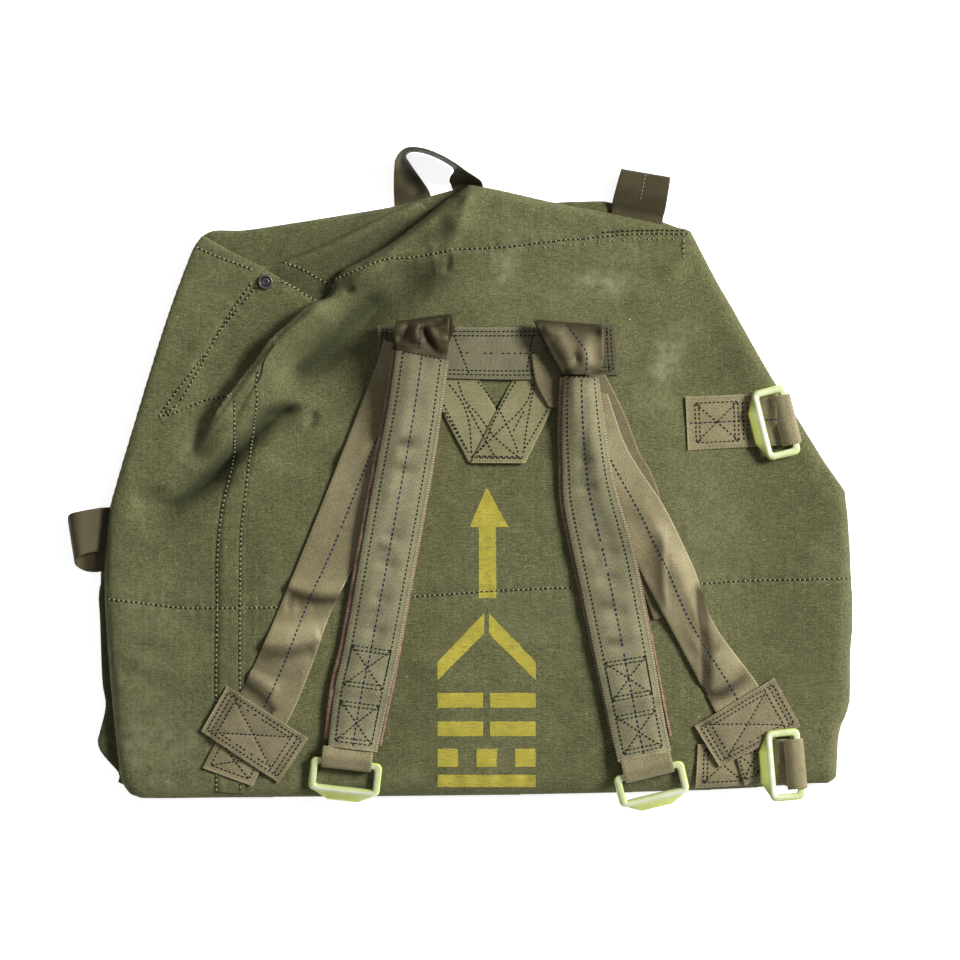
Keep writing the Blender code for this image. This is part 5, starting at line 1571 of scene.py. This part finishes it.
def reached(edges, reach):
    """Edges whose last ends are carried on by a length."""
    longer = []
    for edge in edges:
        edge = np.array(edge, float)
        run = edge[-1] - edge[-2]
        longer.append(np.vstack([edge[:-1], edge[-1] + run / np.linalg.norm(run) * reach]))
    return longer


def cover_lift(u, v):
    """Quilted dents along the middle thread, and soft swellings between the stitch rows."""
    dents = sum(bump(u, v, (0.5, k), (0.20, 0.015), -2.2) for k in QUILTED)
    rims = band(u, 0.27, 0.12, 0.5) + band(u, 0.76, 0.12, 0.5)
    waves = 0.30 * np.sin(v * 75 + 3 * u) * ramp_up(-v, -0.74, 0.05)
    boxes = band(v, 0.79, 0.012, -0.5) + band(v, 0.865, 0.010, -0.5)
    return dents + rims + waves + boxes + 1.6 * ramp_up(v, 0.955, 0.03)


def cover_dark(u, v):
    """The cover is dark along its margins, at its head and at one stitch row."""
    return 0.25 * np.exp(-np.minimum(u, 1 - u) / 0.03) + band(v, 0.0, 0.02, 0.35) + band(v, 0.87, 0.012, 0.25)


def head_change(side, cover):
    """Crumples of the folded webbing's upper leg, which comes down flush with the cover's start."""
    def change(middle):
        share = np.linspace(0, 1, len(middle))[:, None]
        rise = relief(middle[..., :2], HEAD_CREASES[side]) + wrinkles(middle[..., :2], 22, 0.5)
        z = middle[..., 2] + ramp_up(share, 0.50, 0.08) * np.clip((1 - share) / 0.06, 0, 1) * rise
        across_cover = np.interp(SHARES, (0, 1), (0.02, 0.98))
        meet = np.array([cover.place(u, 1.0)[0][2] for u in across_cover]) - WEB / 2
        near = ramp_up(share, 0.86, 0.12)
        return np.dstack([middle[..., :2], z * (1 - near) + (meet[None, :] + 0.15) * near])
    return change


def head_rows(side):
    low, high = height_span(f"strap_head_{side}")
    heights = [low + WEB / 2 + (high - low - WEB) * share for _, _, share in HEADS[side]]
    return [((*left, z), (*right, z)) for (left, right, _), z in zip(HEADS[side], heights)]


def sewn_ends(side, bar):
    """Where the webbing round the bar meets the cover's end and the felt's end."""
    edges = PADS[side]
    end = (np.array(edges[0][-1], float) + edges[1][-1]) / 2
    run = np.array(bar.col[1][:2])
    run = run / np.linalg.norm(run)
    top = Bed(node_of(f"strap_felt_{side}")).height(*(end - run * FELT))
    spot = end + run * STRIP_ROOM
    spots = []
    for height in (top + UPPER_END, top - LOWER_END):
        found = bar.inverted() @ Vector((spot[0], spot[1], height))
        spots.append((found.y, found.z))
    return spots


def build_strap(side):
    """A shoulder strap: felt pad, quilted cover, folded head and the turn round the buckle's bar."""
    edges = PADS[side]
    cover_edges = cut(inset(reached(edges, COVER_REACH[side]), *COVER_INSET[side]), COVER_START, 1.0)
    felt = declare(laid_strip(f"strap_felt_{side}_pad", cut(edges, *FELT_ENDS), f"strap_felt_{side}",
                              FELT - 0.2, FELT_CLOTH, "felt", rough=0.6, soft_edge=0.3, lift=felt_lift),
                   "laid", "front_canvas")
    cover = declare(laid_strip(f"strap_cover_{side}_cloth", cover_edges, f"strap_cover_{side}", COVER - 0.3,
                               COVER_CLOTH, "strap_cover", rough=0.35, lift=cover_lift, dark=cover_dark,
                               cut_ends=CUT_END, stains=COVER_PAINTED_SHADE[side]),
                    "laid", felt.object.name)
    head = declare(folded_strip(f"strap_head_{side}_webbing", head_rows(side), WEB - 0.2, WEBBING,
                                f"strap_head_{side}", 1.6, head_change(side, cover), cut_ends=SEWN_ENDS,
                                stains=HEAD_LIGHT_AND_SHADE[side], dark=lambda u, v: HEAD_PAINTED_SHADE[side]),
                   "folded", cover.object.name)
    bar = bars[f"strap_buckle_{side}"]
    upper, lower = sewn_ends(side, bar)
    declare(folded_strip(f"strap_end_{side}_webbing", turn_rows(bar, (upper, *STRAP_TURN, lower)), WEB - 0.2,
                         WEBBING, f"strap_end_{side}", 1.2, cut_ends=SEWN_ENDS),
            "folded", f"strap_buckle_{side}_metal")
    return cover, head


straps = {side: build_strap(side) for side in PADS}

# ---------------------------------------------------------------- side straps

SIDE_STRAPS = {
    "low": (((208, -232), (303, -226)), ((206, -271), (300, -266))),
    "high": (((197, 72), (292, 76)), ((199, 25), (292, 30))),
}
TURN_ROOM = 7.0
ROWS_KEPT = 3  # one row in three guides the curve over the bag
SIDE_SMOOTHING = 2.0  # in rows


def build_side_strap(name):
    """The sewn webbing and its free end, which turns round the bar and drops back through the slot."""
    plan = plan_grid(*SIDE_STRAPS[name], 2.5)
    rows = turn_rows(bars[f"side_buckle_{name}"], SIDE_TURN)
    edges = [np.array([row[k] for row in rows]) for k in (0, 1)]
    if np.linalg.norm(edges[0][0, :2] - plan[-1, 0]) > WEB_WIDTH / 2:
        edges.reverse()
    turn = between(*edges)
    half = len(SHARES) // 2
    away = np.linalg.norm(plan[:, half] - turn[0, half, :2], axis=1)
    base = plan[(away > TURN_ROOM) & (np.arange(len(plan)) < np.argmin(away))]
    z = felt_out(f"side_strap_{name}", base, SIDE_SMOOTHING, (0, 1)) - WEB / 2 + wrinkles(base, 26, 0.2)
    whole = np.concatenate([np.dstack([base, z])[::ROWS_KEPT], turn])
    middle = np.stack(evened([curve(whole[:, k], 1.6) for k in range(len(SHARES))]), axis=1)
    strip = Strip(f"side_strap_{name}_webbing", middle, WEB - 0.1, WEBBING, "webbing",
                  node=f"side_strap_{name}", dark=lambda u, v: 0.3 * ramp_up(v, 0.9, 0.1))
    return declare(strip, "folded", f"side_buckle_{name}_metal")


side_low = build_side_strap("low")
side_high = build_side_strap("high")

# ---------------------------------------------------------------- loops

LOW_LEG = GUSSET_LOW + 0.1 + LOOP_WEB / 2
HIGH_LEG = LOW_LEG + LOOP_WEB + 0.3
SIDE_LOOP = (
    ((-291, -24, HIGH_LEG), (-291, -66, HIGH_LEG)), ((-312, -25, HIGH_LEG), (-314, -64, HIGH_LEG)),
    ((-322, -26, 10), (-322, -64, 9)), ((-333, -28, 17), (-330, -66, 16)),
    ((-341, -30, 18), (-336, -69, 17)), ((-344.5, -33, 13), (-338.5, -73, 12)),
    ((-343, -37, 6), (-337, -77, 5)), ((-334, -38, 2.7), (-330, -81, 2.5)),
    ((-322, -37, 3.7), (-321, -82, 3.9)), ((-312, -36, LOW_LEG), (-313, -81, LOW_LEG)),
    ((-291, -34, LOW_LEG), (-291, -79, LOW_LEG)),
)
TOP_LOOP_LEFT = (
    ((-57.6, 237.6, 1.5), (-24.8, 246.0, 1.5)), ((-58.0, 240.95, 1.5), (-26.2, 249.75, 1.5)),
    ((-58.5, 249, 3.5), (-28, 254, 1.6)), ((-58.5, 259, 11), (-32, 260, 1.6)),
    ((-58, 270, 23), (-38.5, 269, 1.6)), ((-56.5, 279.5, 34), (-44.5, 277.5, 1.6)),
    ((-51.5, 286.5, 40), (-48.3, 284.2, 1.6)), ((-43.5, 289.6, 42), (-42.9, 288.0, 1.6)),
    ((-30.5, 288, 43), (-30.9, 286.4, 1.6)), ((-15.5, 282, 43), (-16.6, 280.4, 1.6)),
    ((-3.5, 275, 41), (-6.0, 272.6, 1.6)), ((6, 268.5, 34), (-9.2, 265.4, 1.6)),
    ((13.5, 264.5, 23), (-9.8, 261.5, 1.8)), ((18, 261.8, 13), (-8.5, 259.6, 2.0)),
    ((19.6, 258.9, 6), (-7.8, 257, 1.8)), ((20, 256.6, 3.2), (-6.8, 255.2, 1.6)),
    ((20.6, 251.2, 1.5), (-6, 251.2, 1.5)),
)
# Painted highlights along the loop's lit upper strand, and painted shade beside it and at its foot.
TOP_LOOP_LIGHT_AND_SHADE = (
    (((-58, 268), (-54, 282), (-44, 288.5), (-31, 287), (-16, 281), (-5, 274)), -0.9, 4, 4, 0.1, 0.1),
    (((-57, 268), (-50, 259), (-38, 251)), -0.7, 4, 5, 0.1, 0.1),
    (((-50, 283), (-43, 268), (-30, 250)), 0.6, 2, 4, 0.1, 0.1),
    (((-56, 243), (-44, 246), (-30, 251)), 0.35, 4, 3, 0.1, 0.1),
)
TOP_LOOP_RIGHT = (
    ((132, 210, HIGH_LEG), (176, 206, HIGH_LEG)), ((133, 236, HIGH_LEG), (178, 228, HIGH_LEG)),
    ((134, 244, 8.5), (180, 236, 8.5)), ((137, 256, 12), (182, 248, 12)),
    ((140, 268, 11), (184, 260.5, 11)), ((141, 272.4, 7), (184.3, 265, 7)),
    ((140, 268, 3), (184, 260.5, 3)), ((137, 257, 2), (182, 250, 2)),
    ((134, 245.5, LOW_LEG), (180, 238, LOW_LEG)), ((133, 236, LOW_LEG), (178, 228, LOW_LEG)),
    ((132, 210, LOW_LEG), (176, 206, LOW_LEG)),
)


def build_loop(node, rows, stains=()):
    """A loop of thin webbing, a little darker where it turns."""
    strip = folded_strip(f"{node}_webbing", rows, LOOP_WEB - 0.1, LOOPS, node, 1.8, stains=stains,
                         dark=lambda u, v: band(v, 0.5, 0.10, 0.25))
    return declare(strip, "folded", "back_canvas")


side_loop = build_loop("side_loop", SIDE_LOOP)
top_loop_left = build_loop("top_loop_left", TOP_LOOP_LEFT, TOP_LOOP_LIGHT_AND_SHADE)
top_loop_right = build_loop("top_loop_right", TOP_LOOP_RIGHT)

# ---------------------------------------------------------------- snap fastener

SNAP_SPOT = (-171, 173)
SNAP_PROFILE = (
    # radius, share of the height, wear
    (6.0, 0.0, 0.0), (6.6, 0.12, 0.0), (6.7, 0.35, 0.1), (6.6, 0.62, 0.3), (6.2, 0.86, 0.7),
    (5.6, 1.0, 0.9), (5.0, 0.98, 0.5), (4.5, 0.86, 0.0), (4.1, 0.62, 0.0), (3.7, 0.52, 0.0),
    (3.4, 0.60, 0.3), (2.9, 0.78, 0.6), (2.3, 0.80, 0.3), (1.7, 0.66, 0.0), (0.9, 0.62, 0.1),
    (0.3, 0.64, 0.1),
)
SNAP_SIDES = 40


def build_snap():
    low, high = height_span("snap_fastener")
    points, worn, faces = [], [], []
    for radius, share, wear in SNAP_PROFILE:
        for k in range(SNAP_SIDES):
            angle = math.tau * k / SNAP_SIDES
            points.append((SNAP_SPOT[0] + radius * math.cos(angle), SNAP_SPOT[1] + radius * math.sin(angle),
                           low + (high - low) * share))
            worn.append(wear)
    for ring in range(len(SNAP_PROFILE) - 1):
        for k in range(SNAP_SIDES):
            after = (k + 1) % SNAP_SIDES
            a, b = ring * SNAP_SIDES + k, ring * SNAP_SIDES + after
            faces.append((a, b, b + SNAP_SIDES, a + SNAP_SIDES))
    last = (len(SNAP_PROFILE) - 1) * SNAP_SIDES
    faces.append(tuple(last + k for k in range(SNAP_SIDES)))
    faces.append(tuple(reversed(range(SNAP_SIDES))))
    piece("snap_socket", points, faces, SNAP, sharp=60, node="snap_fastener", values={"worn": worn})


build_snap()

# ---------------------------------------------------------------- the felled seam

SEAM_LEFT = (
    (-158, 110), (-177, 86), (-197, 60), (-202, 37), (-206, 11), (-214, -29), (-218, -72), (-218, -119),
    (-219, -178), (-219, -274),
)
SEAM_RISE = 1.5
SEAM_DEPTH = 1.6
SEAM_SUNK = 0.9  # how far its left edge lies below the front
SEAM_GAP = 0.15


def build_seam():
    """The lapped band of canvas between the seam's two rows, raised along its right edge."""
    plan = plan_grid(SEAM_LEFT, SEAM_EDGE, 2.4)
    rise = np.clip(SHARES / 0.3, 0, 1) * (SEAM_RISE + SEAM_SUNK) - SEAM_SUNK
    z = filled(front_bed.heights(plan)) + rise
    for i, j in np.ndindex(z.shape):
        z[i, j] = min(z[i, j], harness_bed.above(*plan[i, j], z[i, j]) - SEAM_GAP)
    middle = np.dstack([plan, z - SEAM_DEPTH / 2])
    # The band carries the front's painted light and shade too.
    strip = Strip("seam_canvas", middle, SEAM_DEPTH, CANVAS, "canvas", upright=True, soft_edge=0.3,
                  cut_ends=SEWN_ENDS, stains=FRONT_LIGHT_AND_SHADE)
    return declare(strip, "laid", "front_canvas")


seam_bed = Bed(front, build_seam().object)

# ---------------------------------------------------------------- stitching

sides_bed = Bed(*(bpy.data.objects[n] for n in ("back_canvas", "side_canvas", "front_canvas")))
SECOND_ROW = 4.6  # from the top seam's first row
HEM_CORNER = ((-155, 190), (-140, 185), (-125, 176), (-111, 169))
LEG_ROWS = (
    ((-15, 66), (8, 22)),
    ((-14, 59), (6, 25)),
    ((-10, 83), (2, 67), (8, 48), (10, 22)),
    ((-2, 86), (4, 69), (15, 57), (31, 36), (51, 19)),
    ((6, 64), (21, 36), (30, 20)),
    ((15, 86), (33, 62), (45, 38), (51, 22)),
    ((49, 86), (40, 71), (28, 48), (22, 32), (14, 22)),
    ((63, 84), (60, 71), (51, 58), (37, 45), (14, 22)),
    ((65, 84), (59, 51), (55, 22)),
    ((78, 64), (69, 48), (56, 26)),
)
HEAD_ROWS = {
    "left": ((-33, 141), (-35, 122), (-35, 106)),
    "right": ((93, 135), (103, 121), (110, 110), (110, 94)),
}


def bag_row(line, bed, share=0.5, skip=0.0):
    """Tan stitches with dark ones between them."""
    tan_thread.over(line, bed, share=share, skip=skip, other=bag_dark)


# The bag's own seams.
bag_row(TOP_SEAM[:4], front_bed, 0.56)
bag_row(TOP_SEAM[3:], front_bed, 0.45)
tan_thread.over([(x, y - SECOND_ROW) for x, y in TOP_SEAM[5:]], front_bed, share=0.35, skip=0.35)
bag_dark.over(TOP_FAINT, front_bed)
for line in (CORNER_ROW, HEM_ROW, HEM_ROW_END, HEM_DOUBLE):
    bag_row(line, front_bed)
for line in (SEAM_A, SEAM_B):
    bag_dark.over(line, seam_bed, share=0.5, other=tan_thread)
for line in (TRIANGLE_OUTER, TRIANGLE_INNER, TRIANGLE_LOW):
    bag_row(line, front_bed, 0.46, 0.06)
for line in (LEVEL_ROW[:6], LEVEL_ROW[7:12], LEVEL_ROW[13:]):
    bag_row(line, seam_bed)
bag_row(HEM_CORNER, sides_bed)

# The yoke: two double rows, a row of dashes along its middle, and framed ends.
dark_thread.lengthways(yoke, (0.085, 0.165, 0.835, 0.915), 3, -6)
dark_thread.lengthways(yoke, (0.5,), yoke.length * 0.34, yoke.length * 0.66, pitch=5.2, share=0.62, skip=0.08)
dark_thread.crossways(yoke, 0.09, (-5, -8.5, -19, 4, 7.5, 17))
yoke_bed = Bed(yoke.object, leg_left.object, leg_right.object, tail.object)
dark_thread.over(((-7, 130), (8, 92)), yoke_bed)
dark_thread.over(((63, 125), (58, 93)), yoke_bed)

# The two legs below the yoke.
legs_bed = Bed(leg_left.object, leg_right.object)
for line in LEG_ROWS:
    dark_thread.over(line, legs_bed)
navy_thread.over(((56, 60), (46, 41)), legs_bed, pitch=4.0)
dark_thread.zigzag(legs_bed, (9, 19.5), (55, 18.5), 2.4, 3.2)
light_thread.zigzag(legs_bed, (10, 16.4), (54, 15.6), 2.2, 1.6)

# The anchor patches: three rows at both ends, two along the sides and a cross between.
for patch in anchors:
    dark_thread.crossways(patch, 0.09, (4, 8, 13, -13, -8, -4))
    dark_thread.lengthways(patch, (0.09, 0.91), 4, -4)
    dark_thread.lengthways(patch, (0.17, 0.83), 13, -13, skip=0.1)
    dark_thread.along(patch, (0.16, 14), (0.84, -14))
    dark_thread.along(patch, (0.84, 14), (0.16, -14))

# Slings: a thread along the middle and a sewn box at each tail.
for sling in (sling_left, sling_right):
    navy_thread.lengthways(sling, (0.5,), 12, -42, skip=0.03)
    dark_thread.box(sling, 0.12, -26, -5)

# Shoulder straps: a frame, a thread along the middle, and two boxes with their double rows.
for side, (cover, head) in straps.items():
    dark_thread.lengthways(cover, (0.14, 0.86), 0.4, cover.length * 0.985)
    dark_thread.crossways(cover, 0.14, (0.4,))
    navy_thread.lengthways(cover, (0.5,), 1, -2, pitch=4.6, share=0.82, skip=0.02)
    for first, last in ((0.745, 0.845), (0.885, 0.985)):
        dark_thread.box(cover, 0.14, cover.length * first, cover.length * last)
        dark_thread.crossways(cover, 0.15, (cover.length * (first + 0.010), cover.length * (last - 0.010)))
    navy_thread.over(HEAD_ROWS[side], Bed(head.object))

# Side straps: a sewn box each, a blue row on the upper one, and a seam in both free ends.
dark_thread.box(side_high, 0.13, 8, 46)
navy_thread.lengthways(side_high, (0.5,), 2, -12, pitch=4.2, share=0.85)
dark_thread.crossways(side_high, 0.13, (11.5, 42.5, 50, 54))
dark_thread.box(side_low, 0.12, 6, 40)
dark_thread.crossways(side_low, 0.12, (9.5, 44, 48, 66))
for strip in (side_high, side_low):
    dark_thread.lengthways(strip, (0.5,), -14, -2)
for loop in (top_loop_left, top_loop_right, side_loop):
    light_thread.lengthways(loop, (0.5,), loop.length * 0.30, loop.length * 0.48)

LOOSE_WIDTH = 0.34
LOOSE_RISE = 0.35
TUFT_SPOT = (-163, 122)


def loose(thread, start, turns, step=2.2):
    """A loose end of thread that wanders over the front."""
    x, y = start
    previous = None
    for turn in turns:
        found = front_bed.spot(x, y)
        if not found:
            return
        here = found[0] + (0, 0, LOOSE_RISE)
        if previous is not None:
            thread.stitch(previous, here, found[1], LOOSE_WIDTH)
        previous = here
        x += step * math.cos(math.radians(turn))
        y += step * math.sin(math.radians(turn))


# Loose ends and a tuft on the big fold.
for turn in range(0, 360, 40):
    loose(tan_thread, TUFT_SPOT, (turn, turn + 40, turn + 100, turn + 150), 1.6)
loose(bag_dark, (-264.5, 56), (-80, -60, -50, -80, -100))
loose(tan_thread, (199, 192), (-100, -80, -95, -120))

for thread in (dark_thread, tan_thread, bag_dark, light_thread, navy_thread):
    thread.done()

# ---------------------------------------------------------------- stencil

PAINT_RISE = 0.22
PAINT_GRAIN = 2.2
ARROW = ((23, -7), (42, -42), (31, -42), (31.5, -104), (16, -104), (16, -42), (8, -42))
# A plain set of bars, squares and a chevron where the bag carries its markings.
CHEVRON = (
    ((-20, -160), (21, -117), (21, -135), (-20, -176)),
    ((25, -117), (66, -160), (66, -176), (25, -135)),
)
# left, right, top, bottom
BARS = (
    (-20, 20, -187, -200), (26, 66, -187, -200), (-20, 20, -212, -225), (26, 66, -212, -225),
    (-20, -2, -236, -252), (14, 32, -236, -252), (48, 66, -236, -252), (-20, 66, -259, -270),
)


def stencil(name, outline):
    """Paint on the front, inside an outline."""
    edge = straight((*outline, outline[0]), 2.0)[:-1]
    edge = edge + wrinkles(edge, 9, 0.5)[:, None]
    low, high = edge.min(axis=0), edge.max(axis=0)
    columns = np.arange(low[0], high[0], PAINT_GRAIN)
    grid = np.array([(x, y) for x in columns for y in np.arange(low[1], high[1], PAINT_GRAIN)])
    kept = inside(edge, grid) & (edge_distance(edge, grid) > 1.2)
    points, faces = filled_outline(edge, [grid[kept]])
    raised = [(x, y, front_bed.height(x, y, 30) + PAINT_RISE) for x, y in points]
    piece(name, raised, faces, PAINT, sharp=80)


stencil("stencil_arrow", ARROW)
boxes = tuple(((x1, y1), (x2, y1), (x2, y2), (x1, y2)) for x1, x2, y1, y2 in BARS)
for number, outline in enumerate(CHEVRON + boxes):
    stencil(f"stencil_mark_{number}", outline)

# ---------------------------------------------------------------- floor, light and camera

VIEW_MIDDLE = (17.2, -0.9)
VIEW_WIDTH = 845.0
VIEW_DISTANCE = 5000.0
SENSOR = 36.0
FLOOR_HALF = 4.0  # metres
FLOOR_GLOW = 0.75
SKY_GLOW = 0.22


def floor_look():
    look = Look("white_floor", 0.9)
    fine = look.noise(look.places(), 300, 1.0)
    look.feed(look.shader.inputs["Emission Color"], WHITE)
    look.feed(look.shader.inputs["Emission Strength"], FLOOR_GLOW)
    return look.finish(look.patches(fine, FLOOR_DARK, FLOOR_LIGHT, 0.2, 0.8), fine, 0.01)


def build_stage():
    mesh = bpy.data.meshes.new("floor")
    corners = [(x * FLOOR_HALF, y * FLOOR_HALF, 0) for x, y in ((-1, -1), (1, -1), (1, 1), (-1, 1))]
    mesh.from_pydata(corners, [], [(0, 1, 2, 3)])
    mesh.materials.append(floor_look())
    floor = bpy.data.objects.new("floor", mesh)
    bpy.context.scene.collection.objects.link(floor)


def add_light(name, place, size, power):
    data = bpy.data.lights.new(name, "AREA")
    data.size = size
    data.energy = power
    lamp = bpy.data.objects.new(name, data)
    bpy.context.scene.collection.objects.link(lamp)
    lamp.location = place
    lamp.rotation_euler = Vector(place).to_track_quat("Z", "Y").to_euler()


def build_view():
    data = bpy.data.cameras.new("view")
    data.sensor_width = SENSOR
    data.lens = SENSOR * VIEW_DISTANCE / VIEW_WIDTH
    camera = bpy.data.objects.new("view", data)
    camera.location = (VIEW_MIDDLE[0] * MM, VIEW_MIDDLE[1] * MM, VIEW_DISTANCE * MM)
    bpy.context.scene.collection.objects.link(camera)
    bpy.context.scene.camera = camera


build_stage()
add_light("key", (12.0, 4.8, 9.0), 4.6, 5500)
add_light("fill", (-1.0, -1.2, 4.6), 2.6, 20)
world = bpy.data.worlds.new("studio")
bpy.context.scene.world = world
world.use_nodes = True
backdrop = next(n for n in world.node_tree.nodes if n.type == "BACKGROUND")
backdrop.inputs["Color"].default_value = (1, 1, 1, 1)
backdrop.inputs["Strength"].default_value = SKY_GLOW
bpy.context.scene.view_settings.view_transform = "Standard"
build_view()
